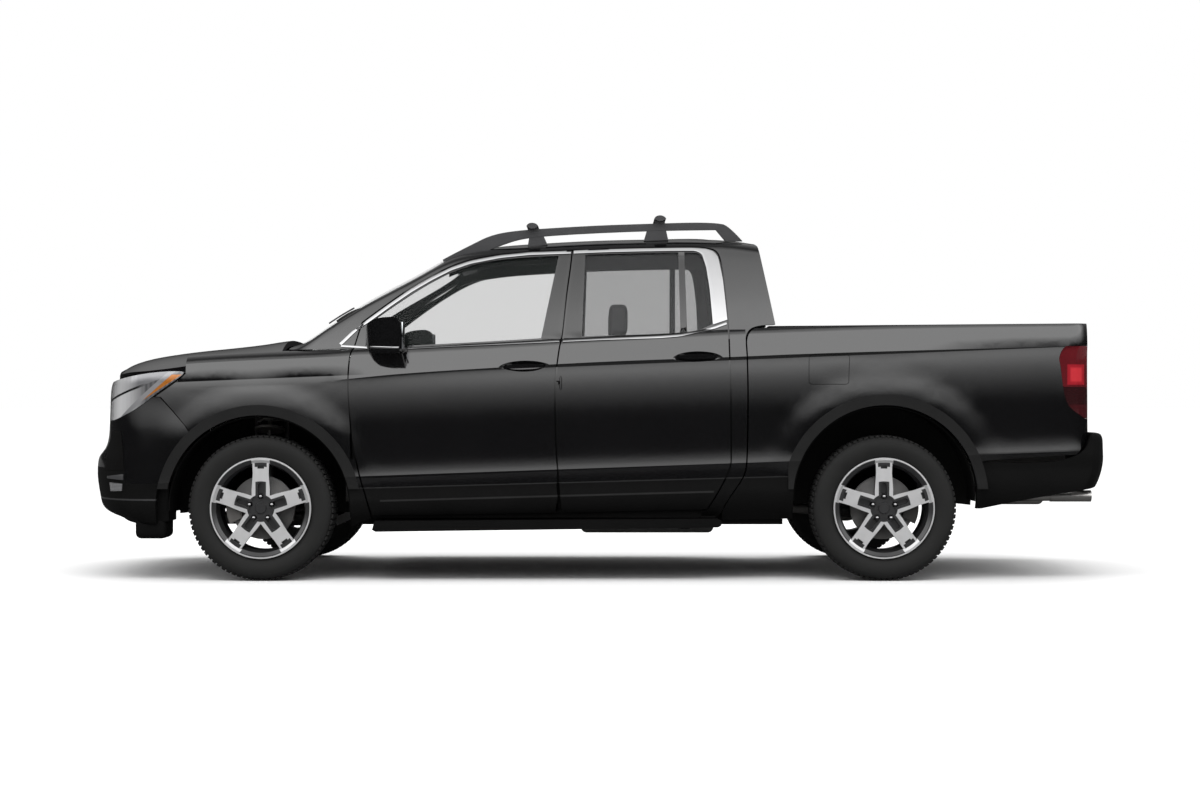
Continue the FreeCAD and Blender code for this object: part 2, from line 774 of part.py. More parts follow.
def tail_lamp_shape():
    """Tail lamp that fills its pocket in the bed side's corner."""
    body = side_slab(2380, 2541, 0, 70, False, 40, (2480, 2500, 2515, 2530))
    line = inset(LAMP_REAR, 1)
    wedge = plan_prism(corners([(2385, -940), (2541, -940), (2541, -790), (2470, -790), (2385, -870)]), 800, 1230)
    return body.common(side_prism(line, -1100, -780)).common(wedge)


HEADLAMP = [
    [(-2720, 1000), (-2560, 1012)],
    [(-2560, 1012), (-2432, 1036), (-2281, 1062), (-2167, 1073), (-2092, 1072)],
    [(-2092, 1072), (-2083, 1062), (-2115, 1030), (-2240, 943)],
    [(-2240, 943), (-2349, 868), (-2479, 817)],
    [(-2479, 817), (-2720, 800)],
]


def headlamp_shape():
    """Closed headlamp housing that wraps round the nose's corner."""
    shell = nose_shell(780, 1090, size("lamp_depth"))
    inboard = block(-2720, -1900, -1000, -612, 700, 1200)
    return shell.common(side_prism(inset(HEADLAMP, 3), -1100, -500)).common(inboard)


NOSE_SWEEP = 0.0002


def grille_line(margin):
    """Front-view outline of the grille opening."""
    return corners([(-598 + margin, 1015 - margin), (598 - margin, 1015 - margin), (598 - margin, 950),
                    (560 - margin, 800 + margin), (-560 + margin, 800 + margin), (-598 + margin, 950)])


def front_bumper_shape():
    """Front bumper cover with its lamp, grille and lower intake openings."""
    shell = nose_shell(288, 1012, size("front_shell"))
    shell = shell.cut(front_prism(grille_line(0), -2720, -2300))
    for side in (-1, 1):
        lamp = side_prism(HEADLAMP, -1100, -590)
        fender = side_prism(corners([(-2242, 940), (-2208, 936.5), (-2076, 791), (-1954, 603), (-1850, 603),
                                     (-1850, 1200), (-2242, 1200)]), -1100, -700)
        tool = lamp.fuse(fender).fuse(arch_tool(0, size("arch_radius") + size("trim_width") + 1))
        shell = shell.cut(tool if side < 0 else mirrored(tool))
    intake = front_prism(corners([(-520, 560), (520, 560), (470, 352), (-470, 352)]), -2720, -2300)
    return shell.cut(intake)


def grille_shape():
    """Bright upper bar and a mesh of bars inside a frame."""
    ring = nose_shell(802, 1012, 30).common(front_prism(grille_line(2), -2720, -2300))
    frame = ring.cut(front_prism(corners([(-560, 945), (560, 945), (528, 822), (-528, 822)]), -2720, -2300))
    sides = [block(-2720, -2000, side * 780 - 214, side * 780 + 214, 700, 1100) for side in (-1, 1)]
    bars = [nose_shell(z, z + 6, 12).cut(sides) for z in (842, 864, 886, 908, 930)]
    uprights = []
    for i in range(-13, 14):
        y = i * 41
        x = nose_line(880) + NOSE_SWEEP * y * y + 3
        uprights.append(block(x, x + 8, y - 2.5, y + 2.5, 815, 950))
    return fused([frame] + bars + uprights)


# Hood and roof, as smooth sheets over a grid

def hood_height(x, y):
    """Height of the hood's outer face."""
    swept = x - NOSE_SWEEP * y * y
    middle = through(swept, [(-2560, 1058), (-2545, 1084), (-2520, 1106), (-2454, 1134), (-2389, 1152),
                             (-2254, 1175), (-2119, 1192), (-1957, 1208), (-1795, 1227), (-1687, 1244), (-1560, 1258)])
    edge = through(x, [(-2460, 1032), (-2300, 1060), (-2100, 1092), (-1950, 1116), (-1800, 1136),
                       (-1560, 1166)])
    edge = min(edge, middle)
    share = min(abs(y) / 868, 1.02)
    return middle - (middle - edge) * share ** 2.3


def sheet_solid(height, xs, ys, depth):
    """Solid between a smooth sheet of heights and the same sheet moved down."""
    surface = Part.BSplineSurface()
    surface.interpolate([[Vector(x, y, height(x, y)) for y in ys] for x in xs])
    return surface.toShape().extrude(Vector(0, 0, -depth))


HOOD_SIDE = [(x, -(860 - plan_taper(x) - GAP)) for x in (-1600, -1750, -1900, -2040, -2110)]
HOOD_FRONT = [HOOD_SIDE[-1], (-2230, -824), (-2330, -778), (-2420, -694), (-2478, -600), (-2518, -450),
              (-2545, -300), (-2560, -150), (-2565, 0)]


def mirror_line(line):
    """Plan-view line on the other side, running back."""
    return [(x, -y) for x, y in reversed(line)]


def hood_shape():
    """Hood panel with a turned-down front edge."""
    xs = [-2580 + i * 60 for i in range(18)]
    ys = [-900 + i * 100 for i in range(19)]
    sheet = sheet_solid(hood_height, xs, ys, size("hood_thickness"))
    corner = HOOD_SIDE[0]
    rear = [(corner[0], -corner[1]), (-1630, 400), (-1640, 0), (-1630, -400), corner]
    line = [HOOD_SIDE, HOOD_FRONT, mirror_line(HOOD_FRONT), mirror_line(HOOD_SIDE), rear]
    return sheet.common(plan_prism(line, 800, 1500))


WINDSCREEN = [(-1606, 0), (-1596, -300), (-1560, -560), (-1480, -760), (-1440, -806)]
WINDSCREEN_SIDE = [(-1440, -806), (-1180, -738), (-980, -690), (-880, -664), (-812, -640)]
WINDSCREEN_TOP = [(-812, -640), (-770, -560), (-752, -300), (-746, 0)]


def windscreen_line():
    """Closed plan outline of the windscreen."""
    return [WINDSCREEN[::-1], mirror_line(WINDSCREEN)[::-1], mirror_line(WINDSCREEN_SIDE)[::-1],
            mirror_line(WINDSCREEN_TOP)[::-1], WINDSCREEN_TOP[::-1], WINDSCREEN_SIDE[::-1]]


def windscreen_tool():
    """Prism over the windscreen's plan outline."""
    left = [WINDSCREEN, WINDSCREEN_SIDE, WINDSCREEN_TOP]
    return plan_prism(left, 1000, 2000)


ROOF_EDGE = [(-742, 0), (-748, -300), (-764, -560), (-776, -606)]
ROOF_SIDE = [(-776, -606), (-620, -590), (-400, -582), (0, -578), (400, -578), (800, -584)]
ROOF_BACK = [(800, -584), (838, -560), (848, -300), (850, 0)]


def roof_shape():
    """Left half of the roof panel."""
    shell = canopy(-790, 940, 0, size("roof_thickness"))
    return shell.common(plan_prism([ROOF_EDGE, ROOF_SIDE, ROOF_BACK], 1500, 2000))


CAB_LINE = [
    [(-1560, 1182), (-1560, 1900)],
    [(-1560, 1900), (862, 1900)],
    [(862, 1900), (862, 1740)],
    [(862, 1740), (898, 1540), (940, 1311)],
    CAB_FOOT,
    [(784, 1205), (-1226, 1152)],
    [(-1226, 1152), (-1226, 1189)],
    [(-1226, 1189), (-1560, 1182)],
]


def roof_opening():
    """Plan prism over the left half of the roof panel and its gap."""
    edge = [(x, y - 4) for x, y in ROOF_SIDE]
    front = [(-900, 20), (-900, edge[0][1])]
    back = [(x + 5, y - 4) for x, y in ROOF_BACK[:-1]] + [(856, 20)]
    return plan_prism([front, [front[1], edge[0]], edge, [edge[-1], back[0]], back, [back[-1], front[0]]], 1500, 2000)


def cab_side_shape():
    """Left side of the cab: pillars, roof side, sill and the flush strip behind the doors."""
    start, end = -1560, 945
    edge = size("shut_inset") - size("shut_clearance")
    line = side_prism(CAB_LINE, -1100, 10)
    gaps = [side_prism(inset(door_line, -HALF_GAP), -1100, -500) for door_line in (FRONT_DOOR, REAR_DOOR)]
    holes = [side_prism(inset(door_line, edge), -1100, -500) for door_line in (FRONT_DOOR, REAR_DOOR)]
    screen = windscreen_tool()
    outer = canopy(start, end, 0, size("frame_depth") + 8).common(line)
    outer = outer.cut(gaps[0]).cut(gaps[1]).cut(screen).cut(roof_opening())
    inner = canopy(start, end, size("frame_depth") + 6, 50).common(line)
    inner = inner.cut(holes[0]).cut(holes[1]).cut(screen).cut(plan_prism(corners([
        (-760, 20), (-760, -480), (820, -480), (820, 20)]), 1400, 2000))
    gap_line = [(x - HALF_GAP, z) for x, z in reversed(BODY_GAP)]
    strip = [[(560, 322), (560, 1285)], [(560, 1285), (784, 1285)], [(784, 1285), gap_line[0]], gap_line,
             [gap_line[-1], (640, 322)], [(640, 322), (560, 322)]]
    lower = side_slab(540, 850, 0, 60).common(side_prism(strip, -1100, -600)).cut(gaps[1])
    sill = [(PILLAR_FRONT, 322), (PILLAR_FRONT, 1120), (-1226, 1120)]
    back = [(760, 520), (735, 490), (690, 425), (630, 322)]
    frame = side_prism(corners(sill + [(-1226, belt_line(-1226) - 16), (760, belt_line(760) - 16)] + back), -924, -790)
    waist = side_prism(corners([(-1240, 1100), (-1240, belt_line(-1240) + 40), (760, belt_line(760) + 40),
                                (760, 1100)]), -850, -790)
    room = arch_tool(0, size("arch_radius") - 6 + SEAT, -930, -640)
    frame = frame.fuse(waist).cut([holes[0], holes[1], room])
    return outer.fuse(inner), lower, frame


PILLAR_FRONT = -1292


def rear_window_frame():
    """Sloping back panel of the cab round the rear window."""
    panel = front_prism(corners([(-826, 1300), (-716, 1655), (716, 1655), (826, 1300)]), 780, 910)
    slope = [(REAR_GLASS_LOW[0] - SEAT + (1330 - z) * GLASS_SLOPE, z) for z in (1300, 1655)]
    slab = side_prism(corners([(x - 20, z) for x, z in slope] + slope[::-1]), -830, 830)
    hole = front_prism([[(-585, 1345), (-560, 1612)], [(-560, 1612), (560, 1612)], [(560, 1612), (585, 1345)],
                        [(585, 1345), (-585, 1345)]], 700, 1000)
    return panel.common(slab).cut(hole)


REAR_GLASS_LOW = (893, 1330)
GLASS_SLOPE = 38 / 320


def cab_frame_shape():
    """Whole cab frame: both sides, cowl, firewall, roof bows and back wall."""
    upper, lower, frame = cab_side_shape()
    side = upper.fuse(frame).fuse(lower)
    for hinge in (FRONT_HINGE, REAR_HINGE):
        for z in HINGE_HEIGHTS:
            side = side.fuse(hinge_arm(hinge, z))
    other = mirrored(side)
    low = size("cab_floor") + size("sheet")
    firewall = block(PILLAR_FRONT, -1270, -800, 800, low, 1120)
    cowl = block(-1530, -1270, -800, 800, 1098, 1120)
    back = block(770, 784, -800, 800, low, 1300)
    shelf = block(770, 880, -790, 790, 1290, 1306)
    ribs = []
    for start, end in ((-735, -655), (785, 850)):
        rib = canopy(start, end, size("roof_thickness") + 1, 40).common(block(start, end, -570, 0, 1600, 1900))
        ribs += [rib, mirrored(rib)]
    walls = [wall.cut(floor_spine()) for wall in (firewall, back)]
    rooms = [arch_tool(0, size("arch_radius") - 6 + SEAT, -930, -640)]
    walls[0] = walls[0].cut(rooms + [mirrored(rooms[0])])
    return side.multiFuse([other, cowl, shelf, rear_window_frame()] + walls + ribs)


# Running gear

def wheel_places():
    """Name, station and side of each wheel."""
    return [("front_left", FRONT_AXLE, -1), ("front_right", FRONT_AXLE, 1),
            ("rear_left", REAR_AXLE, -1), ("rear_right", REAR_AXLE, 1)]


def origin_plane(body, role):
    """Named plane of a body's own origin."""
    return next(item for item in body.Origin.OriginFeatures if item.Role == role)


def sketch_on(body, role, name):
    """Sketch attached to one of the body's origin planes."""
    sketch = body.newObject("Sketcher::SketchObject", name)
    sketch.AttachmentSupport = [(origin_plane(body, role), "")]
    sketch.MapMode = "FlatFace"
    return sketch


def draw(sketch, points):
    """Closed loop of straight lines."""
    for start, end in zip(points, points[1:] + points[:1]):
        sketch.addGeometry(Part.LineSegment(Vector(*start, 0), Vector(*end, 0)), False)


def tyre_profile():
    """Half-open cross-section of the tyre, as radius and distance outwards."""
    radius, half = size("tyre_radius"), size("tyre_width") / 2
    seat, toe = size("rim_radius") - 18 + SEAT, size("tyre_wall") + 10
    bead = size("rim_width") / 2 - 12
    return [(seat, -bead), (seat + 67, -half), (radius - 26, -half + 9), (radius, -half + 36),
            (radius, half - 36), (radius - 26, half - 9), (seat + 67, half), (seat, bead),
            (seat, bead - toe), (radius - 18, half - 40), (radius - 18, -half + 40), (seat, -bead + toe)]


def add_tyre(name, x, side):
    """Tyre as a revolved body about its axle."""
    body = DOC.addObject("PartDesign::Body", f"tyre_{name}")
    sketch = sketch_on(body, "XY_Plane", f"tyre_{name}_section")
    draw(sketch, [(radius, across) for radius, across in tyre_profile()])
    turn = body.newObject("PartDesign::Revolution", f"tyre_{name}_turn")
    turn.Profile = sketch
    turn.ReferenceAxis = (sketch, ["V_Axis"])
    turn.Angle = 360
    body.Placement = Placement(Vector(x, side * HALF_TRACK, AXLE_HEIGHT), Rotation())
    body.Label = f"tyre_{name}"
    NODES.append(body)


def rim_profile():
    """Section of the rim's barrel, as radius and distance outwards."""
    rim, barrel, wall, half = size("rim_radius"), size("rim_barrel"), size("rim_wall"), size("rim_width") / 2
    seat = rim - 20
    return [(rim, half + 7), (rim, half), (seat + 1, half - 9), (seat, half - 40), (barrel + wall, half - 62),
            (barrel + wall, -half + 46), (seat, -half + 24), (seat + 1, -half + 8), (rim - 6, -half),
            (rim - 6, -half - 6), (rim - 15, -half - 6), (seat - wall, -half + 9),
            (barrel, -half + 44), (barrel, half - 60), (seat - wall, half - 30), (seat - wall - 1, half - 6),
            (rim - 12, half + 7)]


def spoke_shape():
    """One wide spoke that forks towards the hub, pointing up, with its outer face at Y = 0."""
    width, depth = size("spoke_width"), size("spoke_depth")
    reach, pad = size("rim_radius") - 22, size("hub_pad_radius")
    plan = [(-width * 0.46, reach), (-width * 0.44, reach - 60), (-width * 0.5, pad + 26), (-width * 0.56, pad - 18),
            (width * 0.56, pad - 18), (width * 0.5, pad + 26), (width * 0.44, reach - 60), (width * 0.46, reach)]
    face = Part.Face(Part.makePolygon([Vector(x, 0, z) for x, z in plan + plan[:1]]))
    solid = face.extrude(Vector(0, depth, 0))
    slot = Part.makeBox(34, 16, 15, Vector(-17, -1, reach - 34))
    fork = Part.makeCylinder(15, 22, Vector(0, -1, pad + 42), Vector(0, 1, 0))
    fork = fork.fuse(Part.makeBox(30, 22, 44, Vector(-15, -1, pad - 2)))
    return solid.cut([slot, fork])


def wheel_shape(side):
    """Alloy wheel and brake disc, drawn for the left side round the Y axis."""
    half = size("rim_width") / 2
    points = [Vector(radius, -across, 0) for radius, across in rim_profile()]
    barrel = Part.Face(Part.makePolygon(points + points[:1])).revolve(Vector(0, 0, 0), Vector(0, 1, 0), 360)
    count = int(size("spoke_count"))
    spokes = []
    for i in range(count):
        spoke = spoke_shape()
        spoke.translate(Vector(0, -half + 2, 0))
        spoke.rotate(Vector(0, 0, 0), Vector(0, 1, 0), 360 / count * i)
        spokes.append(spoke)
    pad = Part.makeCylinder(size("hub_pad_radius"), 46, Vector(0, -half + 10, 0), Vector(0, 1, 0))
    cap = Part.makeCone(30, 26, 8, Vector(0, -half + 11, 0), Vector(0, -1, 0))
    wheel = barrel.multiFuse(spokes + [pad])
    holes = []
    for i in range(count):
        angle = math.radians(90 + 360 / count * i)
        reach = size("lug_circle") / 2
        at = Vector(reach * math.cos(angle), -half - 20, reach * math.sin(angle))
        holes.append(Part.makeCylinder(size("lug_hole"), 60, at, Vector(0, 1, 0)))
    nuts = []
    for i in range(count):
        angle = math.radians(90 + 360 / count * i)
        reach = size("lug_circle") / 2
        at = Vector(reach * math.cos(angle), -half + 16, reach * math.sin(angle))
        nuts.append(Part.makeCone(11, 9, 32, at.add(Vector(0, 26, 0)), Vector(0, -1, 0)))
    wheel = wheel.cut(holes).multiFuse(nuts + [cap])
    bore = Part.makeCylinder(size("hub_bore") / 2, 40, Vector(0, -half + 34, 0), Vector(0, 1, 0))
    wheel = wheel.cut(bore)
    face = -half + 56 + SEAT
    disc = Part.makeCylinder(78, 34, Vector(0, face, 0), Vector(0, 1, 0))
    rotor = Part.makeCylinder(size("disc_radius"), size("disc_thickness"), Vector(0, face + 26, 0), Vector(0, 1, 0))
    vent = Part.makeCylinder(size("disc_radius") + 5, 8, Vector(0, face + 36, 0), Vector(0, 1, 0))
    vent = vent.cut(Part.makeCylinder(size("disc_radius") - 40, 8, Vector(0, face + 36, 0), Vector(0, 1, 0)))
    disc = disc.fuse(rotor).cut(vent)
    disc = disc.cut(Part.makeCylinder(size("hub_bore") / 2, 120, Vector(0, face - 10, 0), Vector(0, 1, 0)))
    shape = solids([wheel, disc])
    return shape if side < 0 else mirrored(shape)


HUB_FACE = 56
DISC_BACK = 56 + 26 + 28


def spindle(depth):
    """Spindle that fits the wheel's bore, drawn for the left side round the Y axis."""
    half = size("rim_width") / 2
    return Part.makeCylinder(size("hub_bore") / 2 - SEAT, depth, Vector(0, -half + 40, 0), Vector(0, 1, 0))


def caliper(angle):
    """Brake caliper over the disc, at an angle from straight ahead."""
    half = size("rim_width") / 2
    face = -half + HUB_FACE + SEAT
    ring = Part.makeCylinder(size("disc_radius") + 22, 74, Vector(0, face + 4, 0), Vector(0, 1, 0))
    hole = Part.makeCylinder(size("disc_radius") - 52, 74, Vector(0, face + 4, 0), Vector(0, 1, 0))
    slot = Part.makeCylinder(size("disc_radius") + 8, size("disc_thickness") + 8, Vector(0, face + 22, 0), Vector(0, 1, 0))
    wedge = Part.Face(Part.makePolygon([Vector(0, face, 0), Vector(-260, face, 130), Vector(-260, face, -130),
                                        Vector(0, face, 0)])).extrude(Vector(0, 90, 0))
    shape = ring.cut(hole).common(wedge).cut(slot)
    shape.rotate(Vector(0, 0, 0), Vector(0, 1, 0), angle)
    return shape


KINGPIN_LOW = Vector(FRONT_AXLE, -792, 236)
LEAN = math.radians(15)


def on_kingpin(z):
    """Point of the left steering axis at a height."""
    return Vector(FRONT_AXLE, KINGPIN_LOW.y + (z - KINGPIN_LOW.z) * math.tan(math.radians(size("kingpin_lean"))), z)


STRUT_SEAT = 776
STRUT_TOP = 960


def knuckle_shape():
    """Left steering knuckle with its spindle, caliper, strut tube and spring seat."""
    half = size("rim_width") / 2
    centre = Vector(FRONT_AXLE, -HALF_TRACK, AXLE_HEIGHT)
    axle = spindle(90)
    clamp = caliper(0)
    hub_back = -half + HUB_FACE + SEAT + 26 + size("disc_thickness") + 3
    carrier = Part.makeCylinder(62, 40, Vector(0, hub_back, 0), Vector(0, 1, 0))
    shapes = [axle, carrier, clamp]
    for shape in shapes:
        shape.translate(centre)
    back_y = -HALF_TRACK + hub_back + 20
    low = on_kingpin(262)
    shapes.append(block(FRONT_AXLE - 34, FRONT_AXLE + 34, back_y - 20, low.y + 26 if low.y + 26 > back_y else back_y + 22, 262, 470))
    shapes.append(rod(on_kingpin(262), on_kingpin(300), 26))
    shapes.append(block(FRONT_AXLE - 150, FRONT_AXLE, back_y - 12, back_y + 14, AXLE_HEIGHT - 60, AXLE_HEIGHT + 60))
    shapes.append(block(FRONT_AXLE, FRONT_AXLE + 150, back_y - 6, back_y + 16, 300, 330))
    shapes.append(rod(on_kingpin(330), on_kingpin(700), 30))
    shapes.append(rod(on_kingpin(STRUT_SEAT - 12), on_kingpin(STRUT_SEAT), 78))
    shapes.append(rod(on_kingpin(690), on_kingpin(STRUT_TOP + 12), 12))
    shapes.append(rod(on_kingpin(STRUT_TOP - 12), on_kingpin(STRUT_TOP), 74))
    shape = shapes[0].multiFuse(shapes[1:])
    bore = rod(on_kingpin(240), on_kingpin(290), 12 + SEAT)
    spring = coil(on_kingpin(STRUT_SEAT + SEAT), on_kingpin(STRUT_TOP - 12 - SEAT), 62, 7, 4)
    return solids([shape.cut(bore), spring])


def front_suspension_shape():
    """Subframe, lower arms, ball joints, strut towers, steering rack and tie rods."""
    x = FRONT_AXLE
    shapes = [block(x - 60, x + 320, -360, 360, 250, 300), block(x - 330, x + 320, -420, -340, 262, 312),
              block(x - 330, x + 320, 340, 420, 262, 312), block(x - 330, x - 250, -420, 420, 262, 312)]
    left = []
    ball = Vector(x, KINGPIN_LOW.y, 236)
    arm = plan_prism(corners([(x - 36, KINGPIN_LOW.y - 20), (x + 36, KINGPIN_LOW.y - 20), (x + 60, -600),
                              (x + 280, -420), (x + 230, -380), (x + 60, -500), (x - 60, -380), (x - 60, -560)]), 222, 246)
    left.append(arm)
    left.append(rod(Vector(x, on_kingpin(236).y, 236), on_kingpin(280), 12))
    left.append(block(x - 55, x - 5, -420, -370, 222, 300))
    left.append(block(x + 225, x + 275, -420, -380, 222, 300))
    rack = rod(Vector(x + 170, -300, 345), Vector(x + 170, 300, 345), 32)
    tie = rod(Vector(x + 170, -300, 345), Vector(x + 145, -640, 348), 11)
    left.append(tie)
    mount = block(x + 150, x + 190, -330, -290, 290, 330)
    left.append(mount)
    right = [mirrored(shape) for shape in left]
    return shapes[0].multiFuse(shapes[1:] + left + right + [rack])


def rear_suspension_shape():
    """Rear subframe, hub carriers with calipers, links, springs and dampers."""
    x, half = REAR_AXLE, size("rim_width") / 2
    centre = Vector(x, -HALF_TRACK, AXLE_HEIGHT)
    hub_back = -half + HUB_FACE + SEAT + 26 + size("disc_thickness") + 3
    axle, clamp = spindle(90), caliper(180)
    carrier = Part.makeCylinder(62, 40, Vector(0, hub_back, 0), Vector(0, 1, 0))
    left = [axle, clamp, carrier]
    for shape in left:
        shape.translate(centre)
    back_y = -HALF_TRACK + hub_back + 20
    left.append(block(x, x + 150, back_y - 12, back_y + 14, AXLE_HEIGHT - 60, AXLE_HEIGHT + 60))
    left.append(block(x - 45, x + 45, back_y - 20, back_y + 30, 250, 480))
    left.append(rod(Vector(x - 20, back_y + 5, 330), Vector(x - 20, -690, 330), 26))
    left.append(rod(Vector(x - 20, -690, 330), Vector(x - 560, -600, 366), 26))
    left.append(Part.makeSphere(27, Vector(x - 20, -690, 330)))
    left.append(block(x + 20, x + 90, back_y + 10, -330, 262, 290))
    left.append(rod(Vector(x - 40, back_y + 20, 440), Vector(x - 60, -330, 452), 18))
    left.append(rod(Vector(x + 105, -663, 280), Vector(x + 90, -663, 688), 26))
    frame = [block(x - 180, x + 180, -350, -280, 380, 440), block(x - 180, x + 180, 280, 350, 380, 440),
             block(x - 180, x - 110, -520, 520, 400, 460), block(x + 110, x + 180, -520, 520, 400, 460),
             block(x - 40, x + 110, -350, 350, 262, 300)]
    frame += [block(x - 30, x + 30, side * 315 - 20, side * 315 + 20, 290, 460) for side in (-1, 1)]
    right = [mirrored(shape) for shape in left]
    spring_y = size("rear_rail_offset") - 30
    springs = [coil(Vector(x + 40, side * spring_y, 290 + SEAT), Vector(x + 40, side * spring_y, 600 - SEAT), 50, 8, 6)
               for side in (-1, 1)]
    arms = left[0].multiFuse(left[1:] + right + frame).cut(rail_shapes())
    return solids([arms] + springs)


# Load bed and tail

def add_box(name, limits):
    """Part box with its corner and sides bound where the limits name expressions."""
    box = DOC.addObject("Part::Box", name)
    low = []
    for axis, side, (start, end) in zip("xyz", ("Length", "Width", "Height"), limits):
        box.setExpression(side, f"({end}) - ({start})")
        low.append(f"{start}")
        box.setExpression(f".Placement.Base.{axis}", f"{start}")
    return box


def cell(alias):
    """Expression that reads a driving dimension."""
    return f"<<sizes>>.{alias}"


def bed_liner_shape():
    """Bed floor, inner walls, wheelhouses and the well below the floor."""
    half, sheet, floor = size("bed_half_width"), size("bed_sheet"), size("bed_floor")
    front, rail = size("bed_front"), size("bed_rail") - 42
    back = TAIL - 232
    house, rise = size("wheelhouse_half"), size("wheelhouse_rise")
    floor_slab = block(front - sheet, back, -half + SEAT, half - SEAT, floor - 22, floor)
    front_wall = block(front - sheet, front, -half + SEAT, half - SEAT, floor - 22, rail + 20)
    shapes = [floor_slab, front_wall]
    for side in (-1, 1):
        y0, y1 = sorted((side * (half - SEAT), side * (half - sheet)))
        shapes.append(block(front - sheet, back - 10, y0, y1, floor - 22, rail - SEAT))
        y0, y1 = sorted((side * (half - SEAT), side * house))
        length = 380
        arch = block(REAR_AXLE - length, REAR_AXLE + length, y0, y1, floor - 22, floor + rise)
        edges = [edge for edge in arch.Edges if edge.BoundBox.XLength < 1 and edge.BoundBox.YLength > 10
                 and edge.BoundBox.ZMin > floor]
        shapes.append(arch.makeFillet(70, edges))
    lid, across, depth = size("lid_length"), size("lid_half_width"), size("well_depth")
    end = back - 15
    start = end - lid
    well = block(start + 30, end - 18, -across + 20, across - 20, floor - depth, floor - 10)
    shape = fused(shapes + [well])
    hollow = block(start + 38, end - 26, -across + 28, across - 28, floor - depth + 8, floor + 1)
    pocket = block(start - 4, end + 4, -across - 5, across + 5, floor - size("lid_thickness") - SEAT, floor + 1)
    x, z = ARCHES[1]
    radius = size("arch_radius") - 6 + SEAT
    rooms = [Part.makeCylinder(radius, 122.3, Vector(x, y, z), Vector(0, 1, 0)) for y in (-half - 0.3, 639.7)]
    return shape.cut([hollow, pocket] + rooms)


def trunk_lid_shape():
    """Lid over the well, level with the bed floor."""
    floor, across = size("bed_floor"), size("lid_half_width")
    end = TAIL - 232 - 15
    start = end - size("lid_length")
    panel = block(start + 2, end - 2, -across, across, floor - size("lid_thickness"), floor - 1)
    handle = block(end - 60, end - 22, -60, 60, floor - 12, floor + 1)
    return panel.cut(handle)


def lid_hinge():
    """Place of the lid's hinge line."""
    return Vector(TAIL - 232 - 15 - size("lid_length") + 2, 0, size("bed_floor"))


TAILGATE_PROFILE = [
    [(2502, 1314), (2540, 1314), (2556, 1306), (2562, 1290), (2558, 1262)],
    [(2558, 1262), (2548, 1230), (2546, 1100), (2552, 960), (2556, 860), (2562, 764)],
    [(2562, 764), (2502, 764)],
    [(2502, 764), (2502, 1314)],
]


def tailgate_shape():
    """Tailgate with a lipped top and a recessed pull."""
    half = size("tailgate_half")
    panel = outline(TAILGATE_PROFILE, lambda x, z: Vector(x, -half, z)).extrude(Vector(0, 2 * half, 0))
    pull = block(2535, 2600, -150, 150, 1170, 1222)
    return panel.cut(pull)


REAR_PROFILE = [(360, 2545), (430, 2595), (487, 2633), (540, 2655), (590, 2667), (640, 2669.5), (716, 2668),
                (742, 2660), (754, 2640)]


def tail_wire(z, depth, front):
    """Closed plan section of the rear bumper at one height."""
    tail = through(z, REAR_PROFILE) - REAR_PROFILE[5][1] + TAIL

    def half(shrink):
        width = side_width(2300, min(z, 700)) - shrink
        reach = 150
        points = [(front, width), (front + (tail - reach - front) / 2, width)]
        for i in range(9):
            angle = math.radians(90 * i / 8)
            across = width * math.cos(angle) ** (2 / 5.5)
            along = (reach - shrink) * math.sin(angle) ** (2 / 2.2)
            points.append((tail - reach + along, across))
        return points

    def full(points):
        left = [Vector(x, -y, z) for x, y in points]
        right = [Vector(x, y, z) for x, y in reversed(points[:-1])]
        return left + right

    outer, inner = full(half(0)), full(half(depth))
    return Part.Wire([spline(outer), Part.makeLine(outer[-1], inner[-1]),
                      spline(list(reversed(inner))), Part.makeLine(inner[0], outer[0])])


def rear_bumper_shape():
    """Rear bumper cover from wheel opening to wheel opening, with a step pad."""
    heights = [z for z, _ in REAR_PROFILE]
    shell = Part.makeLoft([tail_wire(z, size("rear_shell"), 1900) for z in heights], True, False)
    line = [[(1880, 396), (1930, 374), (1992, 369)], [(1992, 369), (2274, 426), (2557, 472)],
            [(2557, 472), (2700, 492)], [(2700, 492), (2700, 760)], [(2700, 760), (2560, 760)],
            [(2560, 760), (2533, 712)], [(2533, 712), (2470, 642), (2018, 613)], [(2018, 613), (1900, 590)],
            [(1900, 590), (1880, 396)]]
    step = plan_prism([[(2562.5 + 4, -830), (2562.5 + 4, 830)], [(2562.5 + 4, 830), (2640, 760), (2655, 400), (2658, 0),
                       (2655, -400), (2640, -760), (2566.5, -830)]], 716, 744)
    clear = side_prism(line, -1100, 1100)
    shell = shell.common(clear).cut(arch_tool(1, size("arch_radius"))).cut(mirrored(arch_tool(1, size("arch_radius"))))
    gate = block(2440, 2566, -size("tailgate_half") - GAP, size("tailgate_half") + GAP, 700, 900)
    shell = shell.fuse(step.cut(gate))
    receiver = block(2500, 2700, -60, 60, 420, 520)
    return shell.cut(receiver)


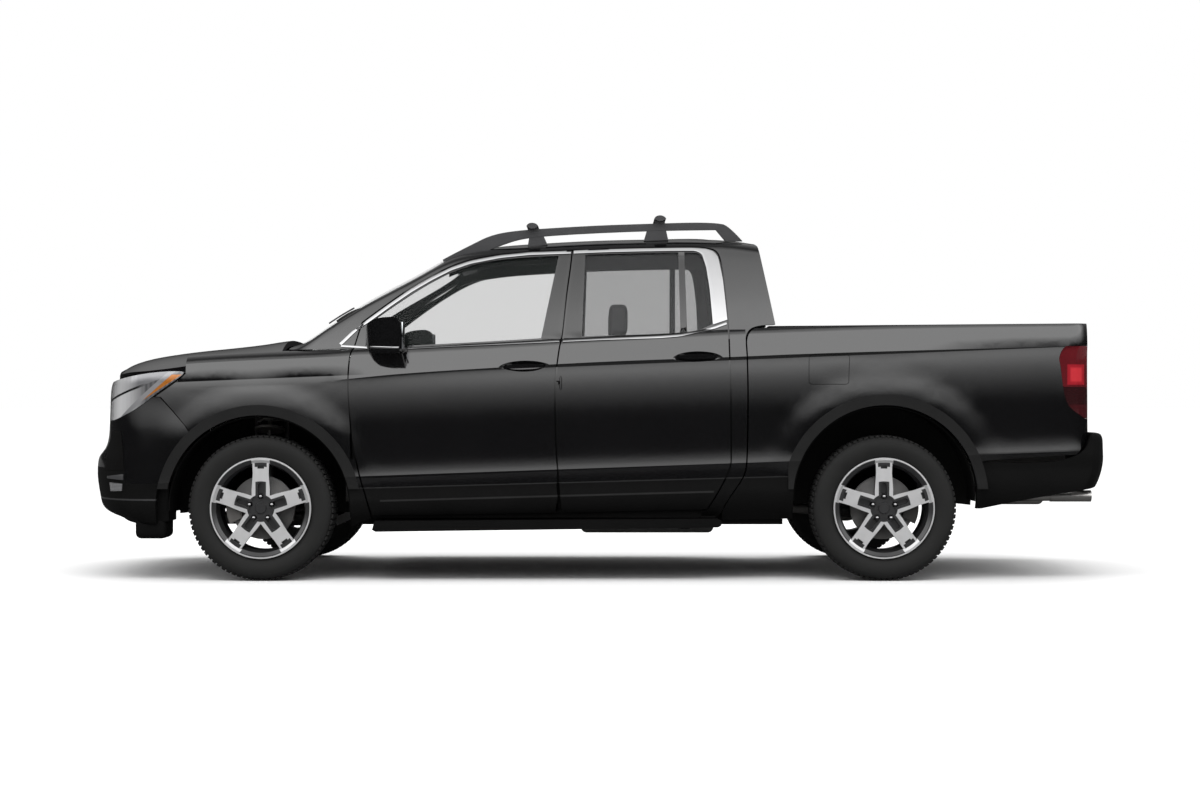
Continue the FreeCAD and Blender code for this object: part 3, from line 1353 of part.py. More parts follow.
def exhaust_shape():
    """Exhaust pipe, silencer and two oval tips."""
    line = pipe([Vector(-1250, 60, 300), Vector(-600, 90, 300), Vector(700, 90, 303), Vector(1150, 300, 350),
                 Vector(1150, 300, 520), Vector(1690, 340, 505), Vector(1810, 350, 412), Vector(2100, 380, 412)], 28, 60)
    box = block(2060, 2380, -560, 560, 372, 452)
    box = box.makeFillet(28, [edge for edge in box.Edges if edge.BoundBox.XLength > 100 or edge.BoundBox.YLength > 100])
    catalyst = rod(Vector(-900, 78, 300), Vector(-600, 90, 300), 52)
    shapes = [line, box, catalyst]
    for side in (-1, 1):
        y = side * 640
        shapes.append(pipe([Vector(2220, side * 500, 412), Vector(2270, y, 416), Vector(2440, y, 420)], 24, 60))
        shapes.append(Part.makeCylinder(30, 213, Vector(2400, y, 421), Vector(1, 0, 0)))
    shape = shapes[0].multiFuse(shapes[1:])
    holes = [Part.makeCylinder(27, 160, Vector(2460, side * 640, 421), Vector(1, 0, 0)) for side in (-1, 1)]
    return shape.cut(holes)


def receiver_shape():
    """Hitch receiver tube on its cross bar."""
    outer, inner = size("receiver_outer"), size("receiver_inner")
    end, height = TAIL - 22, 470
    tube_box = block(end - size("receiver_length"), end, -outer / 2, outer / 2, height - outer / 2, height + outer / 2)
    bar_x = end - size("receiver_length") + 26
    bar = rod(Vector(bar_x, -580, height + 20), Vector(bar_x, 580, height + 20), 30)
    plates = [block(bar_x - 60, bar_x + 30, side * 595 - 36, side * 595 + 36, height - 8, RAIL_END + 0.5)
              for side in (-1, 1)]
    hollow = block(end - size("receiver_length") - 40, end + 1, -inner / 2, inner / 2, height - inner / 2, height + inner / 2)
    pin = rod(Vector(end - 70, -100, height), Vector(end - 70, 100, height), size("receiver_pin") / 2)
    return fused([tube_box, bar] + plates).cut([hollow, pin])


# Underbody and cabin

def rail_shapes():
    """Front and rear rails of both sides."""
    floor, width, height = size("cab_floor"), size("rail_width"), size("rail_height")
    front, rear = size("front_rail_offset"), size("rear_rail_offset")
    front_line = [(-2480, 520), (-2480, 520 + height), (-1350, 520 + height), (-1100, floor + 4), (-400, floor + 4),
                  (-400, floor - 70), (-1150, floor - 70), (-1380, 520)]
    rear_line = [(300, floor - 70), (300, floor + 4), (760, floor + 4), (1080, 600 + height), (1900, 600 + height),
                 (2480, RAIL_END + height), (2480, RAIL_END), (1900, 600), (1120, 600), (860, floor - 70)]
    rails = []
    for side in (-1, 1):
        rails.append(side_prism(corners(front_line), side * front - width / 2, side * front + width / 2))
        rails.append(side_prism(corners(rear_line), side * rear - width / 2, side * rear + width / 2))
    return rails


RAIL_END = 560


def floor_spine():
    """Rails and centre tunnel, which pass through the firewall and the cab's back wall."""
    floor = size("cab_floor")
    return rail_shapes() + [block(-1292, 784, -150, 150, floor, floor + 110)]


FRAME_JOINT = 790


def floor_shape():
    """Cabin floor with tunnel, front rails, crossmembers and strut towers."""
    floor, sheet = size("cab_floor"), size("sheet")
    ahead = block(-2600, FRAME_JOINT, -1000, 1000, 300, 1000)
    spine = [shape.common(ahead) for shape in floor_spine()]
    shapes = [block(-1292, 784, -788, 788, floor, floor + sheet)] + spine
    tunnel = block(-1300, 790, -126, 126, floor - 10, floor + 86)
    front, rear = size("front_rail_offset"), size("rear_rail_offset")
    for side in (-1, 1):
        strut = on_kingpin(STRUT_TOP)
        cup = rod(Vector(strut.x, side * abs(strut.y), 690), Vector(strut.x, side * abs(strut.y), STRUT_TOP + 26), 84)
        y0, y1 = sorted((side * (front - 20), side * 560))
        shapes.append(block(FRONT_AXLE - 90, FRONT_AXLE + 90, y0, y1, 600, STRUT_TOP + 40).cut(cup))
        top = block(FRONT_AXLE - 110, FRONT_AXLE + 110, *sorted((side * 440, side * 776)), STRUT_TOP + 26,
                    STRUT_TOP + 40)
        shapes.append(top)
        apron = block(-2380, PILLAR_FRONT, *sorted((side * 745, side * 775)), 930, 1000)
        shapes.append(apron)
    for x, low, reach in ((-2470, 540, front), (-420, floor - 60, front), (320, floor - 60, rear)):
        shapes.append(block(x, x + 60, -reach, reach, low, low + 60))
    shapes.append(block(-2430, -2380, -640, 640, 930, 960))
    for side in (-1, 1):
        shapes.append(block(-1050, 700, *sorted((side * 700, side * 788)), floor - 60, floor + 10))
    shape = shapes[0].multiFuse(shapes[1:])
    rooms = [arch_tool(0, size("arch_radius") - 6 + SEAT, -930, -640)]
    return shape.cut([tunnel, rooms[0], mirrored(rooms[0])])


def rear_frame_shape():
    """Rear rails with their bed posts, and the crossmembers between them."""
    rear, post = size("rear_rail_offset"), 30
    behind = block(FRAME_JOINT, 2600, -1000, 1000, 300, 1000)
    shapes = []
    for rail, side in zip(rail_shapes()[1::2], (-1, 1)):
        near, far = side * (rear - post), side * (rear + post)
        parts = [block(x, x + 70, *sorted((near, far)), 610, 835.6) for x in (1000, 1400, 1950, 2380)]
        parts.append(block(REAR_AXLE + 50, REAR_AXLE + 130, *sorted((far, side * 695)), 692, 704))
        parts.append(block(2414, 2458, *sorted((near, side * 740)), 700, 828))
        shapes.append(rail.common(behind).multiFuse(parts))
    reach = rear - size("rail_width") / 2 - SEAT
    for x, low in ((1080, 620), (1740, 620), (2440, 590)):
        shapes.append(block(x, x + 60, -reach, reach, low, low + 60))
    shapes.append(block(2414, 2458, post + SEAT - rear, rear - post - SEAT, 700, 828))
    return solids(shapes)


def seats_shape():
    """Two front seats and a rear bench, each with its back and head rests."""
    shapes = []
    for side in (-1, 1):
        y = side * 380
        cushion = block(-500, 30, y - 255, y + 255, 560, 690)
        cushion = cushion.makeFillet(45, cushion.Edges)
        base = block(-440, -20, y - 200, y + 200, 416 + SEAT, 570)
        back = side_prism(corners([(-40, 600), (75, 1240), (180, 1240), (100, 560)]), y - 245, y + 245)
        back = back.makeFillet(40, [edge for edge in back.Edges if edge.Length > 300])
        head = block(92, 182, y - 135, y + 135, 1270, 1430)
        head = head.makeFillet(32, head.Edges)
        stem = block(120, 140, y - 60, y + 60, 1220, 1280)
        shapes.append(cushion.multiFuse([base, back, head, stem]))
    bench = block(330, 740, -640, 640, 540, 680)
    bench = bench.makeFillet(45, bench.Edges)
    base = block(380, 700, -600, 600, 416 + SEAT, 560).cut(block(370, 710, -150 - SEAT, 150 + SEAT, 400, 502 + SEAT))
    back = side_prism(corners([(600, 600), (668, 1230), (752, 1230), (745, 560)]), -640, 640)
    back = back.makeFillet(32, [edge for edge in back.Edges if edge.Length > 300])
    heads = []
    for y in (-380, 0, 380):
        rest = block(676, 748, y - 120, y + 120, 1215, 1350)
        heads.append(rest.makeFillet(28, rest.Edges))
    shapes.append(bench.multiFuse([base, back] + heads))
    return solids(shapes)


def dashboard_shape():
    """Dashboard, centre stack, console and steering column."""
    line = [[(-1268, 800), (-1268, 1128)], [(-1268, 1128), (-1150, 1140), (-1000, 1128), (-900, 1085)],
            [(-900, 1085), (-880, 960), (-920, 800)], [(-920, 800), (-1268, 800)]]
    body = side_prism(line, -740, 740)
    hood = side_prism([[(-1000, 1100), (-960, 1165), (-860, 1150)], [(-860, 1150), (-880, 1060)],
                       [(-880, 1060), (-1000, 1060)], [(-1000, 1060), (-1000, 1100)]], -560, -200)
    console = block(-950, -40, -120, 120, 502.3, 720)
    stack = block(-960, -860, -150, 150, 700, 1110)
    column = rod(Vector(-1000, -380, 905), WHEEL_HUB.sub(COLUMN_WAY * 30), 34)
    return body.multiFuse([hood, console, stack, column])


STEER_TILT = math.radians(24)
COLUMN_WAY = Vector(math.cos(STEER_TILT), 0, math.sin(STEER_TILT))
WHEEL_HUB = Vector(-690, -380, 1040)


def steering_wheel_shape():
    """Steering wheel with three spokes round its column."""
    radius, grip = size("steering_radius"), size("steering_grip")
    ring = Part.makeTorus(radius, grip, Vector(0, 0, 0), Vector(0, 0, 1))
    hub = Part.makeCone(78, 66, 40, Vector(0, 0, -22), Vector(0, 0, 1))
    spokes = [Part.makeBox(radius, 34, 14, Vector(0, -17, -8)) for _ in range(3)]
    for spoke, angle in zip(spokes, (90, 270, 0)):
        spoke.rotate(Vector(0, 0, 0), Vector(0, 0, 1), angle)
    stub = Part.makeCylinder(24, 24, Vector(0, 0, -30 + SEAT), Vector(0, 0, 1))
    shape = ring.multiFuse(spokes + [hub, stub])
    return shape


def engine_shape():
    """Plain engine block on its four mounts to the front rails."""
    length, width, height = size("engine_length"), size("engine_width"), size("engine_height")
    x, z = FRONT_AXLE - 60, 420
    block_solid = block(x - length / 2, x + length / 2, -width / 2, width / 2, z, z + height)
    reach = size("front_rail_offset") - size("rail_width") / 2 - SEAT
    mounts = [block(x - 40 + dx, x + 40 + dx, -reach, reach, 540, 600) for dx in (-180, 180)]
    return fused([block_solid] + mounts)


def tank_shape():
    """Fuel tank under the rear seat."""
    tank = block(-60, 640, -560, 60, 222, floor_low() - SEAT)
    tank = tank.makeFillet(30, tank.Edges)
    return tank


def floor_low():
    """Underside of the rails below the cabin floor."""
    return size("cab_floor") - 70


# Outside trim

def roof_rack_shape():
    """Left roof rail with its feet, and the two bars across it."""
    width = size("rack_rail_width")
    top = [(-787, 1662), (-700, 1708), (-618, 1749), (-565, 1775), (-486, 1800), (-365, 1817), (-260, 1825), (40, 1842), (304, 1851),
           (567, 1857), (683, 1849)]
    low = [(650, 1820), (480, 1818), (304, 1814), (40, 1804), (-230, 1788), (-365, 1772), (-440, 1752),
           (-520, 1722), (-640, 1674), (-770, 1620)]
    rail = side_prism([top, [(683, 1849), (705, 1840), (790, 1760)], [(790, 1760), (700, 1760)],
                       [(700, 1760), (650, 1820)], low, [(-770, 1620), (-787, 1662)]],
                      -585 - width / 2, -585 + width / 2)
    feet = [side_prism(corners([(-340, 1730), (-330, 1795), (-262, 1800), (-235, 1740)]), -603, -567),
            side_prism(corners([(270, 1760), (290, 1825), (385, 1830), (400, 1765)]), -603, -567)]
    roof = canopy(-900, 940, 0, 80)
    roof.translate(Vector(0, 0, SEAT))
    rail = rail.multiFuse(feet).cut(roof)
    bars = []
    for x, z in ((-314, 1835), (356, 1874)):
        half = size("rack_bar_width") / 2
        section = side_prism([[(x - half, z), (x - half + 12, z + 13), (x, z + 17), (x + half - 12, z + 12),
                               (x + half, z)], [(x + half, z), (x, z - 13), (x - half, z)]], -660, 0)
        clamp = block(x - 26, x + 26, -606, -564, z - 40, z - 2)
        bars.append(section.fuse(clamp))
    return rail, bars


def rack_shape():
    """Both roof rails and the bars that join them."""
    rail, bars = roof_rack_shape()
    left = rail.multiFuse(bars)
    return left.fuse(mirrored(left))


def running_board_shape():
    """Left running board with its two brackets to the sill."""
    width = size("board_width")
    out = -1000
    board = side_prism(corners([(-1119, 264), (-1106, 308), (640, 319), (661, 305), (655, 284), (640, 276),
                                (-1100, 254)]), out, out + width)
    inner = [block(x - 25, x + 25, out + width - 20, -790, 264, 296) for x in (-787, 476)]
    posts = [block(x - 25, x + 25, -850, -790, 264, 322 - SEAT) for x in (-787, 476)]
    return board.multiFuse(inner + posts)


def cladding_shape():
    """Dark trim of the left side: wheel-opening rings and the sill strip."""
    parts = []
    stand = size("trim_stand_out")
    for index, (start, end) in enumerate(((-2262, -1128), (1000, 2060))):
        slab = side_slab(start, end, stand, stand - 1, False, 40)
        ring = arch_tool(index, size("arch_radius") + size("trim_width")).cut(arch_tool(index, size("arch_radius") + 1))
        x, z = ARCHES[index]
        keep = block(start, end, -1100, -500, 470 if index == 0 else 470, 1100)
        parts.append(slab.common(ring).common(keep))
    return parts


def liner_shape(index):
    """Wheel-opening liner of the left side."""
    x, z = ARCHES[index]
    radius = size("arch_radius") - 6
    near, far = -925, (-640 if index == 0 else -640)
    outer = Part.makeCylinder(radius, far - near, Vector(x, near, z), Vector(0, 1, 0))
    inner = Part.makeCylinder(radius - 5, far - near, Vector(x, near, z), Vector(0, 1, 0))
    keep = block(x - radius, x + radius, near, far, z - 20, z + radius + 1)
    shape = outer.cut(inner).common(keep)
    if index == 0:
        strut = block(x - 130, x + 130, -800, far + 1, 600, 1000)
        shape = shape.cut(strut)
    return shape


FUEL_DOOR = [
    [(1106, 1025), (1106, 1138)], [(1106, 1138), (1109, 1148), (1124, 1156)], [(1124, 1156), (1296, 1156)],
    [(1296, 1156), (1311, 1150), (1315, 1136)], [(1315, 1136), (1311, 1020)],
    [(1311, 1020), (1306, 1008), (1294, 1003)], [(1294, 1003), (1122, 1003)],
    [(1122, 1003), (1110, 1009), (1106, 1025)],
]


def fuel_door_shape():
    """Fuel door in the left bed side."""
    slab = side_slab(1060, 1360, 0, 6, False, 50)
    return slab.common(side_prism(inset(FUEL_DOOR, 2.5), -1100, -600))


def fuel_pocket():
    """Pocket behind the fuel door."""
    return side_prism(FUEL_DOOR, -1100, -925)


def mirror_shape():
    """Left door mirror housing on its arm."""
    line = [[(-1144, 1294), (-1124, 1319), (-1073, 1337), (-997, 1342)], [(-997, 1342), (-972, 1325), (-964, 1290)],
            [(-964, 1290), (-962, 1202), (-972, 1160)], [(-972, 1160), (-1099, 1157)],
            [(-1099, 1157), (-1140, 1190), (-1144, 1294)]]
    housing = side_prism(line, -1120, -945)
    trim = plan_prism([[(-1150, -955), (-1120, -1075), (-1050, -1118), (-960, -1125)], [(-960, -1125), (-955, -940)],
                       [(-955, -940), (-1150, -940)], [(-1150, -940), (-1150, -955)]], 1100, 1400)
    arm = block(-1120, -1040, -975, -880, 1170, 1215)
    return housing.common(trim).fuse(arm)


# Assembly

def build():
    """Make every sub-part and add it to the document."""
    for name, x, side in wheel_places():
        add_tyre(name, x, side)
        place = Placement(Vector(x, side * HALF_TRACK, AXLE_HEIGHT), Rotation())
        piece(f"wheel_{name}", wheel_shape(side), place)
    knuckle = knuckle_shape()
    piece("knuckle_left", solids([knuckle]))
    piece("knuckle_right", solids([mirrored(knuckle)]))
    piece("front_suspension", front_suspension_shape())
    piece("rear_suspension", rear_suspension_shape())
    piece("floor_pan", floor_shape())
    piece("rear_frame", rear_frame_shape())
    piece("cab_frame", cab_frame_shape())
    roof = roof_shape()
    piece("roof_panel", roof.fuse(mirrored(roof)))
    piece("hood", hood_shape())
    both("front_fenders", fender_shape())
    piece("front_bumper", front_bumper_shape())
    piece("grille", grille_shape())
    both("headlamps", headlamp_shape())
    liners = [liner_shape(0), liner_shape(1)]
    piece("arch_liners", solids(liners + [mirrored(shape) for shape in liners]))
    trims = cladding_shape()
    piece("side_cladding", solids(trims + [mirrored(shape) for shape in trims]))
    piece("engine_block", engine_shape())
    screen = canopy(-1630, -700, 0, size("glass_thickness")).common(windscreen_tool())
    screen = screen.fuse(mirrored(screen))
    foot, head = REAR_GLASS_LOW, (REAR_GLASS_LOW[0] - 295 * GLASS_SLOPE, REAR_GLASS_LOW[1] + 295)
    rear_glass = side_prism(corners([foot, head, (head[0] + 6, head[1]), (foot[0] + 6, foot[1])]), -600, 600)
    piece("fixed_glass", solids([screen, rear_glass]))
    rooms = [swing_room(REAR_HINGE, 355, 490, 28), swing_room(REAR_HINGE, 490, 720, 27)]
    doors = {
        "door_front": door(FRONT_DOOR, FRONT_WINDOW, FRONT_HINGE).cut(rooms).fuse(mirror_shape()),
        "door_rear": door(REAR_DOOR, REAR_WINDOW, REAR_HINGE),
    }
    for name, (x, z) in HANDLES.items():
        dish, bar = handle_shapes(x, z)
        doors[name] = doors[name].cut(dish).fuse(bar)
    for name, shape in doors.items():
        piece(f"{name}_left", solids([shape]))
        piece(f"{name}_right", solids([mirrored(shape)]))
    for name, window in (("glass_front", FRONT_WINDOW), ("glass_rear", REAR_WINDOW)):
        glass = window_glass(window)
        piece(f"{name}_left", solids([glass]))
        piece(f"{name}_right", solids([mirrored(glass)]))
    bed_side = bed_side_shape()
    piece("bed_sides", solids([bed_side.cut(fuel_pocket()), mirrored(bed_side)]))
    piece("fuel_door", fuel_door_shape())
    piece("bed_liner", bed_liner_shape())
    piece("trunk_lid", trunk_lid_shape())
    piece("tailgate", tailgate_shape())
    piece("rear_bumper", rear_bumper_shape())
    both("tail_lamps", tail_lamp_shape())
    piece("roof_rack", rack_shape())
    both("running_boards", running_board_shape())
    piece("exhaust", exhaust_shape())
    piece("fuel_tank", tank_shape())
    piece("seats", seats_shape())
    piece("dashboard", dashboard_shape())
    turn = Rotation(Vector(0, 0, 1), COLUMN_WAY)
    piece("steering_wheel", steering_wheel_shape(), Placement(WHEEL_HUB, turn))
    piece("hitch_receiver", receiver_shape())


def check_and_write():
    """Recompute, refuse a failed object, and write each sub-part."""
    DOC.recompute()
    for item in DOC.Objects:
        if "Invalid" in item.State or "Error" in item.State:
            raise RuntimeError(f"{item.Label} failed")
    os.makedirs("parts", exist_ok=True)
    for node in NODES:
        shape = node.Shape
        if shape.isNull() or not shape.isValid() or not shape.Solids:
            raise RuntimeError(f"{node.Label} has no valid solid")
        shape.exportStep(f"parts/{node.Label}.step")


build()
check_and_write()
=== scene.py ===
# %% [markdown]
# # A crew-cab pickup truck
# The truck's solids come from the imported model, at real size. This lesson gives them
# their finishes, and adds the pieces that a solid alone doesn't show well: tyres with
# tread, chrome, lamps, wipers and padded seats.

import json
import math

import bpy
from mathutils import Matrix, Vector
from mathutils.bvhtree import BVHTree


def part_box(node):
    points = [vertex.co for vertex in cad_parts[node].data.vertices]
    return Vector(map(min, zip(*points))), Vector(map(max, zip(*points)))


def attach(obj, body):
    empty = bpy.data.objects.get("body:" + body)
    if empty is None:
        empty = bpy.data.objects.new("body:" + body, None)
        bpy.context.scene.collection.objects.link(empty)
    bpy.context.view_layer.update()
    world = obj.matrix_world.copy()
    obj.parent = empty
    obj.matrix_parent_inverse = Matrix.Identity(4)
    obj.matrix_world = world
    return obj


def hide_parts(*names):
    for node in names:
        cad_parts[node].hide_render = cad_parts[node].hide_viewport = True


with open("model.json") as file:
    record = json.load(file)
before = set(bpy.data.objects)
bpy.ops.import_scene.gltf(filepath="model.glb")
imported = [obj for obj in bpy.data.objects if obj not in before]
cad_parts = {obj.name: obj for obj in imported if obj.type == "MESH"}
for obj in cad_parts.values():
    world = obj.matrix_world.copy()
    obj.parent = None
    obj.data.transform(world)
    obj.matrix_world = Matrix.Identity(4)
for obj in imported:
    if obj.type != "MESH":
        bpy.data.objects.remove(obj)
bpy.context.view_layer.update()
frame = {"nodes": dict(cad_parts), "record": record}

# %% [markdown]
# ## Measures
# X runs from the nose to the tail, Y to the truck's right and Z up, in metres. The
# same few places are used by many pieces, so they are named once.

# %% Places
NOSE = -2.6695
FRONT_AXLE = NOSE + 0.979
REAR_AXLE = FRONT_AXLE + 3.18
HALF_TRACK = 0.85
TYRE_RADIUS = 0.372
WHEELS = {
    "front_left": (FRONT_AXLE, -1),
    "front_right": (FRONT_AXLE, 1),
    "rear_left": (REAR_AXLE, -1),
    "rear_right": (REAR_AXLE, 1),
}
SIDES = {"left": -1, "right": 1}
print("axles at", round(FRONT_AXLE, 4), round(REAR_AXLE, 4))

# %% [markdown]
# ## Shader arithmetic
# A pattern is easier to read as a formula than as a web of nodes. `Wire` wraps one
# socket, so that `+`, `*` and the rest add Math nodes. `Finish` is one material, and its
# `node` method adds any other node with its settings first and its inputs after.


# %% A socket that takes arithmetic
class Wire:
    """One output socket that formulas can be written on."""

    def __init__(self, finish, socket):
        self.finish = finish
        self.socket = socket

    def output(self, name):
        """Another output of the same node."""
        return Wire(self.finish, self.socket.node.outputs[name])

    def math(self, operation, *others, clamp=False):
        inputs = {index: value for index, value in enumerate((self,) + others)}
        return self.finish.node("Math", {"operation": operation, "use_clamp": clamp}, inputs)

    def __add__(self, other):
        return self.math("ADD", other)

    def __sub__(self, other):
        return self.math("SUBTRACT", other)

    def __mul__(self, other):
        return self.math("MULTIPLY", other)

    def __truediv__(self, other):
        return self.math("DIVIDE", other)

    def __pow__(self, other):
        return self.math("POWER", other)

    def __rsub__(self, other):
        return self.finish.number(other).math("SUBTRACT", self)

    __radd__ = __add__
    __rmul__ = __mul__

    def above(self, limit, soft=0.001):
        """1 where the value is over the limit, with a soft step."""
        return ((self - limit) / soft + 0.5).math("ADD", 0.0, clamp=True)

    def below(self, limit, soft=0.001):
        """1 where the value is under the limit, with a soft step."""
        return 1 - self.above(limit, soft)

    def size(self):
        """The value without its sign."""
        return self.math("ABSOLUTE")


# %% A material with a few helpers
class Finish:
    """One procedural material."""

    def __init__(self, name):
        self.material = bpy.data.materials.new(name)
        self.material.use_nodes = True
        self.tree = self.material.node_tree
        self.tree.nodes.clear()
        place = self.node("TexCoord", {}, {}, out="Object")
        self.place = place
        self.facing = place.output("Normal")
        split = self.node("SeparateXYZ", {}, {0: place})
        self.x = split
        self.y = split.output("Y")
        self.z = split.output("Z")

    def node(self, kind, settings, inputs, out=0):
        """Adds a node of any kind: settings first, then values or links."""
        made = self.tree.nodes.new("ShaderNode" + kind)
        for key, value in settings.items():
            setattr(made, key, value)
        for key, value in inputs.items():
            if isinstance(value, Wire):
                self.tree.links.new(value.socket, made.inputs[key])
            else:
                made.inputs[key].default_value = value
        return Wire(self, made.outputs[out])

    def number(self, value):
        """A plain number as a wire."""
        made = self.node("Value", {}, {})
        made.socket.default_value = value
        return made

    def noise(self, scale, detail=2.0, rough=0.5, stretch=None):
        """Soft noise from 0 to 1, scale in cells a metre."""
        where = self.place
        if stretch:
            where = self.node("Mapping", {}, {0: where, "Scale": stretch})
        inputs = {"Vector": where, "Scale": scale, "Detail": detail, "Roughness": rough}
        return self.node("TexNoise", {}, inputs)

    def cells(self, scale, feature="F1"):
        """Distance pattern of small cells."""
        return self.node("TexVoronoi", {"feature": feature}, {"Vector": self.place, "Scale": scale})

    def curve(self, value, span, points):
        """Smooth curve through points (share of span, height)."""
        made = self.node("FloatCurve", {}, {1: value / span})
        line = made.socket.node.mapping.curves[0]
        line.points[0].location, line.points[1].location = points[0], points[-1]
        for point in points[1:-1]:
            line.points.new(*point)
        made.socket.node.mapping.update()
        return made

    def blend(self, factor, low, high):
        """Colour between two colours."""
        inputs = {0: factor}
        for key, value in ((6, low), (7, high)):
            inputs[key] = value if isinstance(value, Wire) else (*value, 1)
        return self.node("Mix", {"data_type": "RGBA"}, inputs, out=2)

    def bump(self, height, depth, strength=1.0, base=None):
        """Normal from a height, depth in metres, on top of another normal if there is one."""
        inputs = {"Strength": strength, "Distance": depth, "Height": height}
        if base:
            inputs["Normal"] = base
        return self.node("Bump", {}, inputs)

    def skin(self, colour, rough, **more):
        """Main shader with its constants on its own sockets."""
        names = {"metal": "Metallic", "coat": "Coat Weight", "coat_rough": "Coat Roughness",
                 "normal": "Normal", "alpha": "Alpha", "level": "Specular IOR Level"}
        colour = colour if isinstance(colour, Wire) else (*colour, 1)
        inputs = {"Base Color": colour, "Roughness": rough}
        inputs.update({names[key]: value for key, value in more.items()})
        return self.node("BsdfPrincipled", {}, inputs)

    def mixed(self, factor, low, high):
        """Shader between two shaders."""
        return self.node("MixShader", {}, {0: factor, 1: low, 2: high})

    def done(self, shader):
        """Connects the shader and hands back the material."""
        output = self.tree.nodes.new("ShaderNodeOutputMaterial")
        self.tree.links.new(shader.socket, output.inputs[0])
        return self.material


print("shader helpers ready")

# %% [markdown]
# ## Paint and plastics
# The paint is gloss black with fine flakes, and faintly wavy. Its shine is in the base
# layer, because a coat layer reflects by a normal of its own. Under the shoulder the
# flank's lean is drawn as one smooth curve, so that the facets of the solid don't show in
# its reflections. The cladding is grained and dull.


# %% Paint
def paint_layers(finish, base=None):
    """Gloss black flake paint, on another normal if there is one."""
    flakes = finish.cells(900)
    peel = finish.noise(90, 2)
    haze = finish.noise(2.2, 5)
    colour = finish.blend(flakes, (0.0045, 0.0045, 0.005), (0.002, 0.002, 0.0022))
    waves = finish.bump(0.00004 * peel, 1.0, 1.0, base)
    return finish.skin(colour, 0.05 + 0.05 * haze, level=1.0, normal=waves)


def grained_plastic(finish, tone=0.004, grain=420, rough=0.52):
    """Moulded plastic with a fine leathery grain."""
    cells = finish.cells(grain)
    cloud = finish.noise(6, 4)
    colour = finish.blend(cloud, (tone * 0.8,) * 3, (tone * 1.25,) * 3)
    return finish.skin(colour, rough + 0.10 * cells, level=0.055, normal=finish.bump(cells, 0.0006, 0.5))


# %% Lines along the flank
SHOULDER = (1.104, 0.040)
OUTER_SKIN = 0.80
COVER_SLOPE = 0.0276
COVER_TOP = 0.5070
# Height, and reach along X, of the painted highlight: a fine line on the sill cover.
COVER_HIGHLIGHT_LINE = 0.440
COVER_HIGHLIGHT_SPAN = (-1.08, 0.62)
ARCHES = [(-1.7025, 0.375), (1.4945, 0.427)]
MOULDING_RADIUS = 0.56
FULL_LEAN = 0.1763
FLANK_DROP = 0.60
FLANK_LEAN = [(0, 1.0), (0.05, 0.88), (0.10, 0.70), (0.17, 0.51), (0.25, 0.39), (0.33, 0.31), (0.42, 0.25),
              (0.50, 0.22), (0.68, 0.22), (0.76, 0.25), (0.83, 0.35), (0.875, 0.44), (0.895, 0.24),
              (0.96, 0.23), (1, 0.23)]
BUMPER_TOP = 0.93
BUMPER_DROP = 0.45
BUMPER_LEAN = [(0, 0.42), (0.12, 0.50), (0.25, 0.46), (0.40, 0.30), (0.60, 0.24), (1, 0.24)]
print("lean at the shoulder", round(math.degrees(math.atan(FULL_LEAN)), 2), "degrees")


# %% Drawn normals and side mouldings
def drawn_normal(finish, drop, span, curve, mask, share):
    """Normal whose lean up or down is drawn as one smooth curve over the drop below a line."""
    turn = finish.node("SeparateXYZ", {}, {0: finish.facing})
    across, up = turn.output("Y"), turn.output("Z")
    lean = FULL_LEAN * finish.curve(drop, span, curve)
    height = up + share * mask * (lean - up)
    drawn = finish.node("CombineXYZ", {}, {0: turn, 1: across, 2: height})
    unit = finish.node("VectorMath", {"operation": "NORMALIZE"}, {0: drawn})
    settings = {"vector_type": "NORMAL", "convert_from": "OBJECT", "convert_to": "WORLD"}
    return finish.node("VectorTransform", settings, {0: unit})


def flank_normal(finish):
    """Normal of the flank under its shoulder."""
    drop = SHOULDER[0] + SHOULDER[1] * finish.x - finish.z
    sideways = finish.node("SeparateXYZ", {}, {0: finish.facing}).output("Y").size().above(0.84, 0.10)
    mask = sideways * finish.y.size().above(OUTER_SKIN, 0.01) * drop.above(0.004, 0.004)
    return drawn_normal(finish, drop, FLANK_DROP, FLANK_LEAN, mask, 0.8)


def arch_ring(finish, centre):
    """1 on the moulding round a wheel arch."""
    x, z = centre
    reach = ((finish.x - x) ** 2.0 + (finish.z - z) ** 2.0) ** 0.5
    return reach.below(MOULDING_RADIUS, 0.002)


def side_moulding(finish):
    """Dull sill covers, and paler mouldings round the arches."""
    ring = (arch_ring(finish, ARCHES[0]) + arch_ring(finish, ARCHES[1])).math("MINIMUM", 1.0)
    return finish.mixed(ring, grained_plastic(finish), grained_plastic(finish, 0.014, 420, 0.46))


def body_finish():
    """Painted panels, with a dull cover along their lower edge and a painted highlight on it, a fine bright
    line.
    """
    finish = Finish("body_black")
    sill = finish.z - COVER_SLOPE * finish.x
    outer = finish.y.size().above(OUTER_SKIN, 0.002)
    low = sill.below(COVER_TOP, 0.0015) * outer * finish.x.above(-1.9)
    groove = (sill - COVER_TOP).size().below(0.0030, 0.0015) * outer
    between_doors = finish.x.above(COVER_HIGHLIGHT_SPAN[0]) * finish.x.below(COVER_HIGHLIGHT_SPAN[1])
    # A fine paler line along the cover is a painted highlight, where its crease would catch the light.
    line = (sill - COVER_HIGHLIGHT_LINE).size().below(0.0045, 0.004) * between_doors * 0.6
    cover = finish.mixed(line, grained_plastic(finish), grained_plastic(finish, 0.030, 420, 0.4))
    shader = finish.mixed(low, paint_layers(finish, flank_normal(finish)), cover)
    dark = finish.skin((0.002, 0.002, 0.002), 0.7)
    return finish.done(finish.mixed(groove * 0.9, shader, dark))


BODY = body_finish()
paint = Finish("plain_black")
PAINT = paint.done(paint_layers(paint))
clad = Finish("cladding")
CLADDING = clad.done(grained_plastic(clad))
trim = Finish("side_moulding")
MOULDING = trim.done(side_moulding(trim))
print("body", len(BODY.node_tree.nodes), "nodes")


